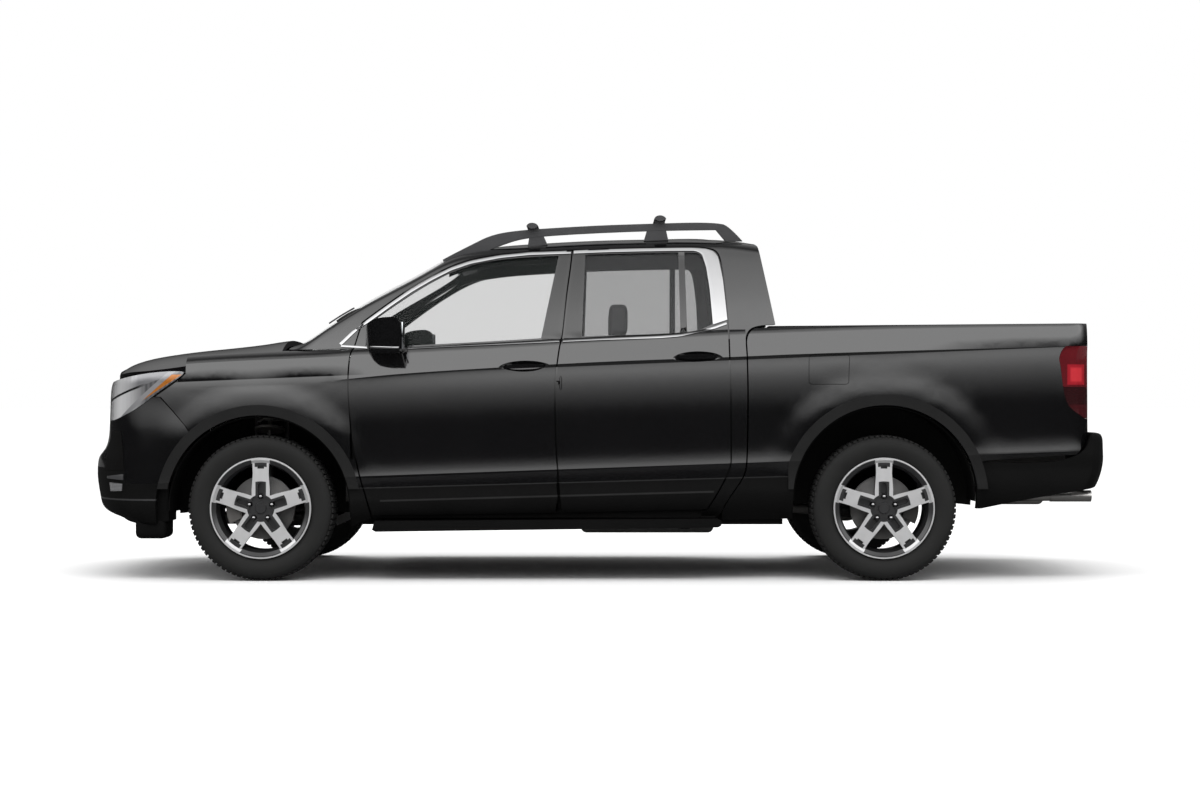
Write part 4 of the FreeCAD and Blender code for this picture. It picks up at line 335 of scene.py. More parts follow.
# %% Other plastics, rubber and glass
def simple(name, build):
    """A material from a function that gets the finish and returns its shader."""
    finish = Finish(name)
    return finish.done(build(finish))


def satin_rail(finish):
    """Satin black of the roof rails, worn a little paler."""
    wear = finish.noise(14, 5)
    grain = finish.noise(500, 2)
    colour = finish.blend(wear, (0.030, 0.030, 0.032), (0.045, 0.045, 0.047))
    return finish.skin(colour, 0.34 + 0.12 * wear, level=0.5, normal=finish.bump(grain, 0.0003, 0.3))


def gloss_plastic(finish):
    """Piano black pillar covers."""
    haze = finish.noise(3, 4)
    colour = finish.blend(haze, (0.006, 0.006, 0.006), (0.012, 0.012, 0.012))
    return finish.skin(colour, 0.06 + 0.05 * haze, coat=0.6, coat_rough=0.03)


def tyre_rubber(finish):
    """Dull rubber with road dust."""
    dust = finish.noise(9, 5)
    fine = finish.noise(320, 3)
    colour = finish.blend(dust, (0.010, 0.010, 0.010), (0.017, 0.017, 0.0165))
    return finish.skin(colour, 0.62 + 0.16 * dust, level=0.22, normal=finish.bump(fine, 0.0005, 0.5))


def chrome_layers(finish):
    """Chrome with a faint haze."""
    haze = finish.noise(5, 4)
    colour = finish.blend(haze, (0.40, 0.40, 0.405), (0.46, 0.46, 0.465))
    return finish.skin(colour, 0.08 + 0.07 * haze, metal=1.0)


def under_metal(finish):
    """Coated chassis metal with stains of rust."""
    rust = finish.noise(11, 6, 0.6)
    pits = finish.noise(160, 4)
    colour = finish.blend(rust, (0.020, 0.020, 0.021), (0.048, 0.044, 0.040))
    return finish.skin(colour, 0.5 + 0.25 * rust, metal=0.25, normal=finish.bump(pits, 0.0008, 0.5))


def dark_liner(finish):
    """Felt of the wheel houses."""
    fuzz = finish.noise(240, 4)
    dust = finish.noise(6, 5)
    colour = finish.blend(dust, (0.0025, 0.0025, 0.0025), (0.0060, 0.0060, 0.0058))
    return finish.skin(colour, 0.85 + 0.1 * dust, level=0.06, normal=finish.bump(fuzz, 0.001, 0.5))


def radiator_fins(finish):
    """Upright fins of the radiator."""
    fins = (finish.y * 1400.0).math("SINE") * 0.5 + 0.5
    dust = finish.noise(8, 5)
    colour = finish.blend(dust, (0.006, 0.006, 0.006), (0.012, 0.012, 0.011))
    return finish.skin(colour, 0.7 + 0.1 * dust, level=0.1, normal=finish.bump(fins, 0.002, 0.6))


def cast_iron(finish):
    """Pitted grey castings."""
    pits = finish.cells(260)
    stain = finish.noise(16, 5)
    colour = finish.blend(stain, (0.13, 0.125, 0.12), (0.24, 0.23, 0.22))
    return finish.skin(colour, 0.48 + 0.2 * stain, metal=0.85, normal=finish.bump(pits, 0.0008, 0.6))


def steel_pipe(finish):
    """Exhaust steel, streaked along its run."""
    heat = finish.noise(3.2, 4)
    streak = finish.noise(60, 3, 0.5, (1, 9, 9))
    colour = finish.blend(heat, (0.46, 0.45, 0.44), (0.60, 0.59, 0.57))
    return finish.skin(colour, 0.22 + 0.22 * streak, metal=1.0, normal=finish.bump(streak, 0.0003, 0.3))


def bed_texture(finish):
    """Lumpy composite of the load bed, scuffed."""
    lumps = finish.cells(150)
    scuff = finish.noise(7, 6, 0.65)
    colour = finish.blend(scuff, (0.018, 0.018, 0.018), (0.042, 0.042, 0.041))
    return finish.skin(colour, 0.66 + 0.14 * scuff, normal=finish.bump(lumps, 0.0015, 0.7))


def soft_trim(finish):
    """Soft-touch grain of the dashboard."""
    cells = finish.cells(330)
    tone = finish.noise(5, 3)
    colour = finish.blend(tone, (0.030, 0.030, 0.031), (0.042, 0.042, 0.043))
    return finish.skin(colour, 0.58 + 0.1 * cells, level=0.4, normal=finish.bump(cells, 0.0008, 0.5))


def leather_layers(finish):
    """Creased dark leather."""
    creases = finish.cells(210, "DISTANCE_TO_EDGE")
    folds = finish.noise(18, 5)
    colour = finish.blend(folds, (0.045, 0.045, 0.047), (0.075, 0.075, 0.078))
    ridge = (creases * 6.0).math("MINIMUM", 1.0) + 0.4 * folds
    return finish.skin(colour, 0.46 + 0.16 * folds, level=0.45, normal=finish.bump(ridge, 0.0009, 0.6))


def tinted_glass(alpha, tint):
    """Glass of one tint, darker with more alpha."""
    def build(finish):
        film = finish.noise(4, 4)
        colour = finish.blend(film, tint, tuple(value * 1.3 for value in tint))
        return finish.skin(colour, 0.01 + 0.02 * film, level=0.5, alpha=alpha)
    return build


RAIL = simple("satin_rail", satin_rail)
GLOSS = simple("gloss_trim_black", gloss_plastic)
RUBBER = simple("tyre_rubber", tyre_rubber)
CHROME = simple("chrome", chrome_layers)
UNDER = simple("chassis_metal", under_metal)
LINER = simple("wheel_house_felt", dark_liner)
FINS = simple("radiator_fins", radiator_fins)
IRON = simple("cast_iron_grey", cast_iron)
STEEL = simple("exhaust_steel", steel_pipe)
BED = simple("bed_texture", bed_texture)
SOFT = simple("soft_trim", soft_trim)
LEATHER = simple("seat_leather", leather_layers)
CLEAR = simple("clear_glass", tinted_glass(0.11, (0.03, 0.036, 0.034)))
TINTED = simple("tinted_glass", tinted_glass(0.27, (0.045, 0.046, 0.047)))
print("finishes", len(bpy.data.materials))

# %% [markdown]
# ## Finishes told apart by place
# A cast wheel has machined faces and painted pockets in one piece, and a lamp holds a
# chrome bar, a bright lens and an amber marker behind one cover. Each is one solid here,
# so its material tells the parts apart by where they are.


# %% Wheel finish
SPOKE_HALF = 0.0465
LIP_INNER = 0.2505
HUB_FACE = 0.070
FORK = (0.0270, 0.137)
SLOT = (0.0310, 0.212, 0.233)
FACE_OUT = 0.1040
DISC_OUT = 0.0535
DISC_RADIUS = 0.176


def wheel_layers(finish):
    """Machined spoke faces, dark pockets and a turned steel disc."""
    across = finish.y.size() - HALF_TRACK
    ahead = finish.x.below(0.0, 0.01)
    centre = FRONT_AXLE * ahead + REAR_AXLE * (1 - ahead)
    reach = ((finish.x - centre) ** 2.0 + (finish.z - TYRE_RADIUS) ** 2.0) ** 0.5
    rings = (reach * 5200.0).math("SINE")
    dust = finish.noise(20, 4)
    bright_tone = finish.blend(dust, (0.56, 0.56, 0.565), (0.64, 0.64, 0.645))
    machined = finish.skin(bright_tone, 0.34 + 0.08 * dust, metal=0.60,
                           normal=finish.bump(rings, 0.00008, 0.6))
    dark_tone = finish.blend(dust, (0.020, 0.020, 0.021), (0.034, 0.034, 0.035))
    painted = finish.skin(dark_tone, 0.34 + 0.10 * dust, metal=0.3, coat=0.4)
    disc_tone = finish.blend(dust, (0.13, 0.13, 0.13), (0.20, 0.195, 0.19))
    steel = finish.skin(disc_tone, 0.38 + 0.10 * dust, metal=0.8, normal=finish.bump(rings, 0.0002, 0.7))
    angle = (finish.z - TYRE_RADIUS).math("ARCTAN2", finish.x - centre) - math.pi / 2
    lateral = (reach * angle.math("WRAP", math.pi / 5, -math.pi / 5).math("SINE")).size()
    spoke_or_lip = (lateral.below(SPOKE_HALF) + reach.above(LIP_INNER)).math("MINIMUM", 1.0)
    fork = lateral.below(FORK[0]) * reach.below(FORK[1])
    slot = lateral.below(SLOT[0]) * reach.above(SLOT[1]) * reach.below(SLOT[2])
    bright = across.above(FACE_OUT, 0.0008) * reach.above(HUB_FACE) * spoke_or_lip * (1 - fork) * (1 - slot)
    disc = across.below(DISC_OUT) * reach.below(DISC_RADIUS, 0.002)
    return finish.mixed(disc, finish.mixed(bright, painted, machined), steel)


# %% Headlamp finish
LENS_TOP = (-2.471, 0.937, 0.357)
AMBER_FRONT = (-2.280, 0.937, 0.877)
AMBER_REAR = (-2.270, 0.940, 0.653)
AMBER_TOP = 1.054


def over_line(finish, line):
    """Height over a sloping line, given by one point of it and its rise along X."""
    x, z, rise = line
    return (finish.z - z) - rise * (finish.x - x)


def headlamp_layers(finish):
    """Chrome bar over a bright lens, with an amber marker along the rear edge."""
    haze = finish.noise(12, 3)
    ribs = (finish.x * 260.0).math("SINE") * 0.5 + 0.5
    upper = over_line(finish, LENS_TOP)
    left = over_line(finish, AMBER_FRONT)
    right = over_line(finish, AMBER_REAR)
    amber = left.below(0.0, 0.003) * right.above(0.0, 0.003) * finish.z.below(AMBER_TOP, 0.004)
    pipe = left.above(0.0, 0.003) * left.below(0.030, 0.003)
    fade = finish.x.above(-2.36, 0.16)
    lens_tone = finish.blend(fade, (0.95, 0.95, 0.96), (0.10, 0.10, 0.105))
    lens_tone = finish.blend(ribs * 0.25 * fade, lens_tone, (0.35, 0.35, 0.36))
    top_tone = finish.blend(finish.x.above(-2.38, 0.12), (0.80, 0.80, 0.81), (0.22, 0.22, 0.23))
    tone = finish.blend(upper.above(0.0, 0.004), lens_tone, top_tone)
    seam = upper.size().below(0.006, 0.003) * finish.x.below(-2.30, 0.05)
    tone = finish.blend(seam, tone, (0.01, 0.01, 0.01))
    tone = finish.blend(pipe, tone, (0.30, 0.30, 0.31))
    tone = finish.blend(amber, tone, (0.50, 0.17, 0.025))
    return finish.skin(tone, 0.10 + 0.10 * haze, metal=0.35, coat=1.0, coat_rough=0.02,
                       normal=finish.bump(ribs * (1 - amber), 0.0008, 0.35))


# %% Tail lamp finish
SQUARE = ((2.428, 2.520), (1.002, 1.106))
SQUARE_CORE = ((2.444, 2.505), (1.018, 1.090))
DARK_TOP = 0.992
DARK_BOTTOM = 0.90


def framed(finish, spans, soft_x, soft_z):
    """1 inside an upright rectangle of the side view."""
    (front, rear), (bottom, top) = spans
    upright = finish.z.above(bottom, soft_z) * finish.z.below(top, soft_z)
    return upright * finish.x.above(front, soft_x) * finish.x.below(rear, soft_x)


def tail_lamp_layers(finish):
    """Deep red lamp with a brighter square and a dark lower part."""
    haze = finish.noise(14, 3)
    cells = finish.cells(130)
    square = framed(finish, SQUARE, 0.004, 0.004)
    core = framed(finish, SQUARE_CORE, 0.010, 0.012)
    low = finish.z.below(DARK_TOP, 0.004)
    tone = finish.blend(haze, (0.085, 0.006, 0.009), (0.12, 0.008, 0.012))
    tone = finish.blend(low, tone, (0.022, 0.004, 0.005))
    tone = finish.blend(finish.z.below(DARK_BOTTOM, 0.01), tone, (0.045, 0.005, 0.007))
    tone = finish.blend(square, tone, (0.30, 0.012, 0.020))
    tone = finish.blend(core, tone, (0.52, 0.03, 0.04))
    return finish.skin(tone, 0.08 + 0.06 * haze, coat=1.0, coat_rough=0.02,
                       normal=finish.bump(cells, 0.0006, 0.3))


# %% Bumper and grille finishes
BUMPER_CORNER = (-2.392, 0.575)
BUMPER_COVER = 0.497
# Height of the painted highlight along the bumper's lip.
BUMPER_LIP_HIGHLIGHT = 0.414
GRILLE_BAR = 0.946


def bumper_layers(finish):
    """Paint over a grained lower cover, with a painted highlight along its lip, a brighter line."""
    corner = finish.z.below(BUMPER_CORNER[1], 0.002) * finish.x.below(BUMPER_CORNER[0], 0.002)
    low = (finish.z.below(BUMPER_COVER, 0.002) + corner).math("MINIMUM", 1.0)
    lean = drawn_normal(finish, BUMPER_TOP - finish.z, BUMPER_DROP, BUMPER_LEAN, 1.0, 0.85)
    # The brighter satin line along the lip is a painted highlight.
    lip = (finish.z - BUMPER_LIP_HIGHLIGHT).size().below(0.004, 0.003)
    lower = finish.mixed(lip * 0.7, grained_plastic(finish), satin_rail(finish))
    return finish.mixed(low, paint_layers(finish, lean), lower)


def grille_layers(finish):
    """Chrome upper bar over a gloss black mesh."""
    return finish.mixed(finish.z.above(GRILLE_BAR), gloss_plastic(finish), chrome_layers(finish))


def fog_layers(finish):
    """Small clear lamp with a ribbed reflector."""
    ribs = (finish.z * 900.0).math("SINE") * 0.5 + 0.5
    colour = finish.blend(ribs, (0.16, 0.16, 0.165), (0.34, 0.34, 0.35))
    return finish.skin(colour, 0.12 + 0.10 * ribs, metal=0.5, coat=1.0, coat_rough=0.02)


WHEEL = simple("machined_wheel", wheel_layers)
FOG = simple("fog_lamp_glass", fog_layers)
HEADLAMP = simple("headlamp_glass", headlamp_layers)
TAIL_LAMP = simple("tail_lamp_red", tail_lamp_layers)
BUMPER = simple("front_bumper_black", bumper_layers)
GRILLE = simple("grille_chrome_and_black", grille_layers)
print("placed finishes", [item.name for item in (WHEEL, HEADLAMP, TAIL_LAMP, BUMPER, GRILLE)])

# %% [markdown]
# ## Smooth copies of the panels
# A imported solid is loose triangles, which shade flat. Where a panel is curved, a copy is
# merged by distance, given new normals that turn smoothly under a small angle, and it
# stands for the node.


# %% Copy helper
def select_only(piece):
    """Makes one object the only selected and active one."""
    bpy.ops.object.select_all(action="DESELECT")
    piece.select_set(True)
    bpy.context.view_layer.objects.active = piece


BODY_OF = {node: body for body, nodes in frame["record"]["behaviour"]["bodies"].items() for node in nodes}


def edit_all(tool, **options):
    """Uses one edit mode tool on the whole of the active piece."""
    bpy.ops.object.mode_set(mode="EDIT")
    bpy.ops.mesh.select_all(action="SELECT")
    tool(**options)
    bpy.ops.object.mode_set(mode="OBJECT")


def smooth_copy(node, material, angle=14.0):
    """Merged and smoothly shaded copy that stands for a node."""
    source = frame["nodes"][node]
    piece = source.copy()
    piece.data = source.data.copy()
    piece.parent = None
    for key in list(piece.keys()):
        del piece[key]
    piece.name = node + "_shell"
    bpy.context.scene.collection.objects.link(piece)
    piece.matrix_world = Matrix.Identity(4)
    select_only(piece)
    edit_all(bpy.ops.mesh.remove_doubles, threshold=0.00002)
    if piece.data.has_custom_normals:
        bpy.ops.mesh.customdata_custom_splitnormals_clear()
    bpy.ops.object.shade_smooth_by_angle(angle=math.radians(angle))
    piece.data.materials.clear()
    piece.data.materials.append(material)
    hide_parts(node)
    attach(piece, BODY_OF[node])
    return piece


# %% Which node gets which finish
SHELLS = {
    BODY: ["front_fenders", "bed_sides", "door_front_left", "door_front_right", "door_rear_left",
           "door_rear_right", "cab_frame", "fuel_door"],
    PAINT: ["roof_panel", "hood", "tailgate"],
    BUMPER: ["front_bumper"],
    MOULDING: ["side_cladding"],
    CLADDING: ["rear_bumper", "running_boards"],
    RAIL: ["roof_rack"],
    GRILLE: ["grille"],
    UNDER: ["front_suspension", "rear_suspension", "floor_pan", "rear_frame", "hitch_receiver"],
    LINER: ["arch_liners"],
    IRON: ["knuckle_left", "knuckle_right", "engine_block"],
    STEEL: ["exhaust"],
    BED: ["bed_liner", "trunk_lid", "fuel_tank"],
    SOFT: ["dashboard", "steering_wheel"],
    CLEAR: ["fixed_glass", "glass_front_left", "glass_front_right"],
    TINTED: ["glass_rear_left", "glass_rear_right"],
    WHEEL: ["wheel_" + name for name in WHEELS],
    HEADLAMP: ["headlamps"],
    TAIL_LAMP: ["tail_lamps"],
}
shells = {}
for material, nodes in SHELLS.items():
    for node in nodes:
        shells[node] = smooth_copy(node, material)
print("shells", len(shells), "left", sorted(set(frame["nodes"]) - set(shells)))

# %% [markdown]
# ## Tools for new pieces
# A trim strip lies on a curved panel. It is made as a flat grid whose points are laid on
# the panel by a ray, and then given a thickness and soft edges. Every finished piece
# stands at the origin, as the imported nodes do, and rides on the body that carries it.


# %% Piece helpers
def dress(piece, name, material, body, slot, angle=35.0):
    """Names, places and finishes a piece, and lets it ride on its body."""
    piece.name = name
    piece.data.name = name
    select_only(piece)
    bpy.ops.object.transform_apply(location=True, rotation=True, scale=True)
    bpy.ops.object.shade_smooth_by_angle(angle=math.radians(angle))
    piece.data.materials.clear()
    piece.data.materials.append(material)
    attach(piece, body)
    return piece


def apply_all(piece):
    """Applies every modifier of a piece in turn."""
    select_only(piece)
    for name in [item.name for item in piece.modifiers]:
        bpy.ops.object.modifier_apply(modifier=name)


def new_block(low, high, bevel=0.0, segments=3):
    """Box between two corners with rounded edges, still at its own place."""
    bpy.ops.object.select_all(action="DESELECT")
    middle = [(a + b) / 2 for a, b in zip(low, high)]
    span = [b - a for a, b in zip(low, high)]
    bpy.ops.mesh.primitive_cube_add(size=1, location=middle, scale=span)
    piece = bpy.context.object
    bpy.ops.object.transform_apply(location=True, rotation=True, scale=True)
    if bevel:
        edit_all(bpy.ops.mesh.bevel, offset=bevel, segments=segments, affect="EDGES")
    return piece


def joined(pieces):
    """One object from several."""
    bpy.ops.object.select_all(action="DESELECT")
    for piece in pieces:
        piece.select_set(True)
    bpy.context.view_layer.objects.active = pieces[0]
    bpy.ops.object.join()
    return bpy.context.object


def copied(piece):
    """Copy with its own mesh."""
    twin = piece.copy()
    twin.data = piece.data.copy()
    bpy.context.scene.collection.objects.link(twin)
    return twin


# %% Strips on a panel
skins = {}


def skin_point(node, start, way):
    """Where a ray first meets a node, or None."""
    if node not in skins:
        mesh = frame["nodes"][node].data
        skins[node] = BVHTree.FromPolygons([vertex.co for vertex in mesh.vertices],
                                           [tuple(face.vertices) for face in mesh.polygons])
    return skins[node].ray_cast(Vector(start), Vector(way))[0]


RAY_START = 1.3
INNER_WALL = 0.55
GLASS_LIFT = 0.003


def on_side(nodes, side, lift=0.001, reach=0.0):
    """Rule that lays side-view points on the outermost skin of nodes, within a reach along X."""
    last = {"y": 0.9}

    def place(x, z):
        found = []
        for node in nodes:
            for ahead in ((-reach, 0.0, reach) if reach else (0.0,)):
                hit = skin_point(node, (x + ahead, side * RAY_START, z), (0, -side, 0))
                if hit is not None and abs(hit.y) > INNER_WALL:
                    found.append(abs(hit.y) + (GLASS_LIFT if node.startswith("glass") else 0.0))
        if found:
            last["y"] = max(found)
        return Vector((x, side * (last["y"] + lift), z))
    return place


def even(line, count):
    """The line as evenly spaced points."""
    points = [Vector(point) for point in line]
    lengths = [0.0]
    for a, b in zip(points, points[1:]):
        lengths.append(lengths[-1] + (b - a).length)
    result = []
    for index in range(count):
        goal = lengths[-1] * index / (count - 1)
        step = max(k for k in range(len(points) - 1) if lengths[k] <= goal + 1e-9)
        share = (goal - lengths[step]) / (lengths[step + 1] - lengths[step])
        result.append(points[step].lerp(points[step + 1], min(share, 1.0)))
    return result


def strip(name, low, high, place, thick, material, body, slot, side=-1, count=40, rows=3, bevel=0.0008):
    """Thin solid between two lines, laid where the rule puts it."""
    low, high = even(low, count), even(high, count)
    bpy.ops.object.select_all(action="DESELECT")
    bpy.ops.mesh.primitive_grid_add(x_subdivisions=count - 1, y_subdivisions=rows - 1, size=1)
    piece = bpy.context.object
    for vertex in piece.data.vertices:
        along = round((vertex.co.x + 0.5) * (count - 1))
        up = (vertex.co.y + 0.5)
        u, v = low[along].lerp(high[along], up)
        vertex.co = place(u, v)
    if side > 0:
        edit_all(bpy.ops.mesh.flip_normals)
    wall = piece.modifiers.new("wall", "SOLIDIFY")
    wall.thickness = thick
    wall.offset = 1
    if bevel:
        edge = piece.modifiers.new("edge", "BEVEL")
        edge.width = bevel
        edge.segments = 2
    apply_all(piece)
    return dress(piece, name, material, body, slot)


print("piece helpers ready")

# %% [markdown]
# ## Tyres
# An all-terrain tyre has five rows of rubber blocks over a rounded carcass, and blocks
# that run down its shoulders. One section is drawn and spun into the carcass, one pitch
# of blocks is copied round it by the same tool, and the tyre is copied to four wheels.

# %% Carcass
CARCASS = [(-0.096, 0.240), (-0.099, 0.259), (-0.110, 0.276), (-0.119, 0.300), (-0.1215, 0.322),
           (-0.118, 0.340), (-0.110, 0.354), (-0.098, 0.361), (-0.050, 0.3635), (0.0, 0.364)]
CARCASS += [(-across, radius) for across, radius in reversed(CARCASS[:-1])]


def carcass():
    """Section drawn point by point and spun round the axle."""
    bpy.ops.object.select_all(action="DESELECT")
    bpy.ops.mesh.primitive_plane_add(size=0.01, location=(0, 0, 0))
    piece = bpy.context.object
    bpy.ops.object.mode_set(mode="EDIT")
    bpy.ops.mesh.select_all(action="SELECT")
    bpy.ops.mesh.merge(type="CENTER")
    line = CARCASS + CARCASS[:1]
    bpy.ops.transform.translate(value=(0, line[0][0], line[0][1]))
    for start, end in zip(line, line[1:]):
        step = (0, end[0] - start[0], end[1] - start[1])
        bpy.ops.mesh.extrude_vertices_move(TRANSFORM_OT_translate={"value": step})
    bpy.ops.mesh.select_all(action="SELECT")
    bpy.ops.mesh.spin(steps=96, angle=2 * math.pi, center=(0, 0, 0), axis=(0, 1, 0))
    bpy.ops.mesh.select_all(action="SELECT")
    bpy.ops.mesh.remove_doubles(threshold=0.0001)
    bpy.ops.mesh.normals_make_consistent(inside=False)
    bpy.ops.object.mode_set(mode="OBJECT")
    return piece


# %% Blocks of one pitch
PITCHES = 78
BLOCKS = [(0.0, 0.028, 0.023, 0.3, 0.3), (0.034, 0.028, 0.022, -0.35, 0.0),
          (-0.034, 0.028, 0.022, 0.35, 0.0), (0.076, 0.040, 0.021, 0.12, 0.10),
          (-0.076, 0.040, 0.021, -0.12, -0.10)]


def tread():
    """Blocks of one pitch, copied round the carcass."""
    pieces = []
    for across, width, length, lean, tip in BLOCKS:
        crown = 0.3675 - abs(across) * 0.036
        piece = new_block((-length / 2, -width / 2, -0.0045), (length / 2, width / 2, 0.0045), 0.0012, 1)
        piece.rotation_euler = (tip * 0.3, 0, lean)
        piece.location = (0, across, crown)
        pieces.append(piece)
    for side in (-1, 1):
        piece = new_block((-0.009, -0.0025, -0.014), (0.009, 0.0025, 0.014), 0.0012, 1)
        piece.rotation_euler = (side * 0.55, 0, 0)
        piece.location = (0.004, side * 0.1105, 0.346)
        pieces.append(piece)
    group = joined(pieces)
    bpy.ops.object.transform_apply(location=True, rotation=True, scale=True)
    turn = 2 * math.pi * (PITCHES - 1) / PITCHES
    edit_all(bpy.ops.mesh.spin, steps=PITCHES - 1, dupli=True, angle=turn, center=(0, 0, 0), axis=(0, 1, 0))
    return group


# %% Four tyres
first_tyre = joined([carcass(), tread()])
for name, (axle, side) in WHEELS.items():
    tyre = copied(first_tyre)
    tyre.location = (axle, side * HALF_TRACK, TYRE_RADIUS)
    dress(tyre, "tyre_tread_" + name, RUBBER, "wheel_" + name, "tyre")
    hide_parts("tyre_" + name)
print("tyre", len(first_tyre.data.polygons), "faces", [round(value, 4) for value in first_tyre.dimensions])
bpy.data.objects.remove(first_tyre)

# %% [markdown]
# ## Wheel nuts
# Five chrome nuts sit on the painted hub, one in the fork of each spoke. Each is a
# six-sided nut with a domed end.


# %% Nuts
NUT_COUNT = 5
NUT_CIRCLE = 0.060
NUT_OUT = 0.104


def nut():
    """Six-sided nut with a domed cap, pointing outwards along Y."""
    bpy.ops.object.select_all(action="DESELECT")
    bpy.ops.mesh.primitive_cylinder_add(vertices=6, radius=0.0105, depth=0.012)
    body = bpy.context.object
    edit_all(bpy.ops.mesh.bevel, offset=0.001, segments=1, affect="EDGES")
    bpy.ops.mesh.primitive_uv_sphere_add(segments=16, ring_count=8, radius=0.0098, location=(0, 0, 0.005))
    return joined([body, bpy.context.object])


first_nut = nut()
for name, (axle, side) in WHEELS.items():
    nuts = []
    for index in range(NUT_COUNT):
        angle = math.pi / 2 + 2 * math.pi * index / NUT_COUNT
        twin = copied(first_nut)
        twin.rotation_euler = (-side * math.pi / 2, 0, 0)
        twin.location = (axle + NUT_CIRCLE * math.cos(angle), side * (HALF_TRACK + NUT_OUT),
                         TYRE_RADIUS + NUT_CIRCLE * math.sin(angle))
        nuts.append(twin)
    dress(joined(nuts), "wheel_nuts_" + name, CHROME, "wheel_" + name, "alloy")
bpy.data.objects.remove(first_nut)
print("wheel nuts", len(WHEELS) * NUT_COUNT)

# %% [markdown]
# ## Bright trim on the doors
# Chrome runs round the side windows: a narrow strip along the top edge, a wide one down
# the rear pillar, and a fine one along the belt. The middle pillar between the windows
# is gloss black, and so is the bar that parts the rear window.

# %% Lines round the windows
FRONT_TOP = [(-1.300, 1.214), (-1.234, 1.280), (-1.147, 1.346), (-1.046, 1.422), (-0.945, 1.494),
             (-0.842, 1.557), (-0.740, 1.611), (-0.637, 1.648), (-0.482, 1.679), (-0.325, 1.695),
             (-0.112, 1.702)]
REAR_TOP = [(-0.096, 1.703), (0.040, 1.709), (0.249, 1.714), (0.458, 1.717), (0.563, 1.717), (0.606, 1.709),
            (0.636, 1.695), (0.655, 1.665), (0.676, 1.548), (0.694, 1.335)]
REAR_INNER = [(-0.096, 1.687), (0.040, 1.693), (0.249, 1.698), (0.458, 1.701), (0.525, 1.701), (0.552, 1.696),
              (0.572, 1.680), (0.592, 1.610), (0.607, 1.496), (0.620, 1.310)]
FRONT_BELT = [(-1.290, 1.206), (-1.130, 1.196), (-0.984, 1.191), (-0.728, 1.204), (-0.472, 1.215),
              (-0.168, 1.229)]
REAR_BELT = [(-0.150, 1.230), (0.040, 1.239), (0.348, 1.250), (0.450, 1.258), (0.553, 1.281), (0.620, 1.297),
             (0.688, 1.322)]


def moved(line, down):
    """The line a little lower, square to its run."""
    result = []
    for index, point in enumerate(line):
        before, after = line[max(index - 1, 0)], line[min(index + 1, len(line) - 1)]
        run = Vector((after[0] - before[0], after[1] - before[1])).normalized()
        result.append((point[0] + run.y * down, point[1] - run.x * down))
    return result


for label, side in SIDES.items():
    front, rear = "door_front_" + label, "door_rear_" + label
    lay_front = on_side([front, "glass_front_" + label, "cab_frame"], side)
    lay_rear = on_side([rear, "glass_rear_" + label, "cab_frame"], side, 0.001, 0.010)
    for name, low, high, lay, door, count, rows in (
            ("chrome_top_front_", moved(FRONT_TOP, 0.015), FRONT_TOP, lay_front, front, 60, 3),
            ("chrome_top_rear_", REAR_INNER, REAR_TOP, lay_rear, rear, 60, 5),
            ("chrome_belt_front_", moved(FRONT_BELT, 0.010), FRONT_BELT, lay_front, front, 40, 3),
            ("chrome_belt_rear_", moved(REAR_BELT, 0.011), REAR_BELT, lay_rear, rear, 40, 3)):
        strip(name + label, low, high, lay, 0.004, CHROME, door, "gloss_trim", side, count, rows)
print("chrome strips", 4 * len(SIDES))

# %% Gloss black pillar and window bar
PILLAR_FRONT = ([(-0.258, 1.236), (-0.236, 1.350), (-0.206, 1.500), (-0.170, 1.683)],
                [(-0.161, 1.236), (-0.149, 1.350), (-0.134, 1.500), (-0.114, 1.684)])
PILLAR_REAR = ([(-0.145, 1.240), (-0.133, 1.350), (-0.118, 1.500), (-0.099, 1.686)],
               [(-0.055, 1.241), (-0.052, 1.350), (-0.046, 1.500), (-0.038, 1.688)])
WINDOW_BAR = ([(0.453, 1.262), (0.448, 1.696)], [(0.487, 1.270), (0.480, 1.696)])
for label, side in SIDES.items():
    front, rear = "door_front_" + label, "door_rear_" + label
    lay_front = on_side([front, "glass_front_" + label], side)
    lay_rear = on_side([rear, "glass_rear_" + label], side)
    strip("pillar_trim_front_" + label, PILLAR_FRONT[1], PILLAR_FRONT[0], lay_front, 0.002, GLOSS, front,
          "gloss_trim", side, 24, 4)
    strip("pillar_trim_rear_" + label, PILLAR_REAR[1], PILLAR_REAR[0], lay_rear, 0.002, GLOSS, rear,
          "gloss_trim", side, 24, 4)
    lay_glass = on_side(["glass_rear_" + label], side)
    strip("window_bar_" + label, WINDOW_BAR[1], WINDOW_BAR[0], lay_glass, 0.003, GLOSS, rear,
          "gloss_trim", side, 16, 3)
print("pillar pieces", 3 * len(SIDES))

# %% [markdown]
# ## Nose details
# Beside the intake stands a black pocket, with a silver-grey bar over a small fog lamp.
# A finned radiator shows through the grille. Ahead of each wheel a deflector hangs under
# the bumper, and a plain black panel closes the wheel house behind the tyre.

# %% Pockets and fog lamps
POCKET = ([(-2.520, 0.560), (-2.520, 0.640), (-2.505, 0.765)],
          [(-2.395, 0.560), (-2.402, 0.640), (-2.425, 0.765)])
GARNISH = ([(-2.500, 0.520), (-2.500, 0.532)], [(-2.398, 0.514), (-2.398, 0.544)])
FOG_LAMP = ([(-2.478, 0.455), (-2.484, 0.500)], [(-2.408, 0.458), (-2.404, 0.496)])
for label, side in SIDES.items():
    lay = on_side(["front_bumper"], side)
    for name, (front, rear), thick, material, slot, count in (
            ("bumper_pocket_", POCKET, 0.002, LINER, "gloss_trim", 20),
            ("bumper_garnish_", GARNISH, 0.006, RAIL, "trim", 6),
            ("fog_lamp_", FOG_LAMP, 0.005, FOG, "lamp", 8)):
        strip(name + label, rear, front, lay, thick, material, "truck_body", slot, side, count, 8)
core = new_block((-2.372, -0.600, 0.640), (-2.345, 0.600, 0.925), 0.004, 1)
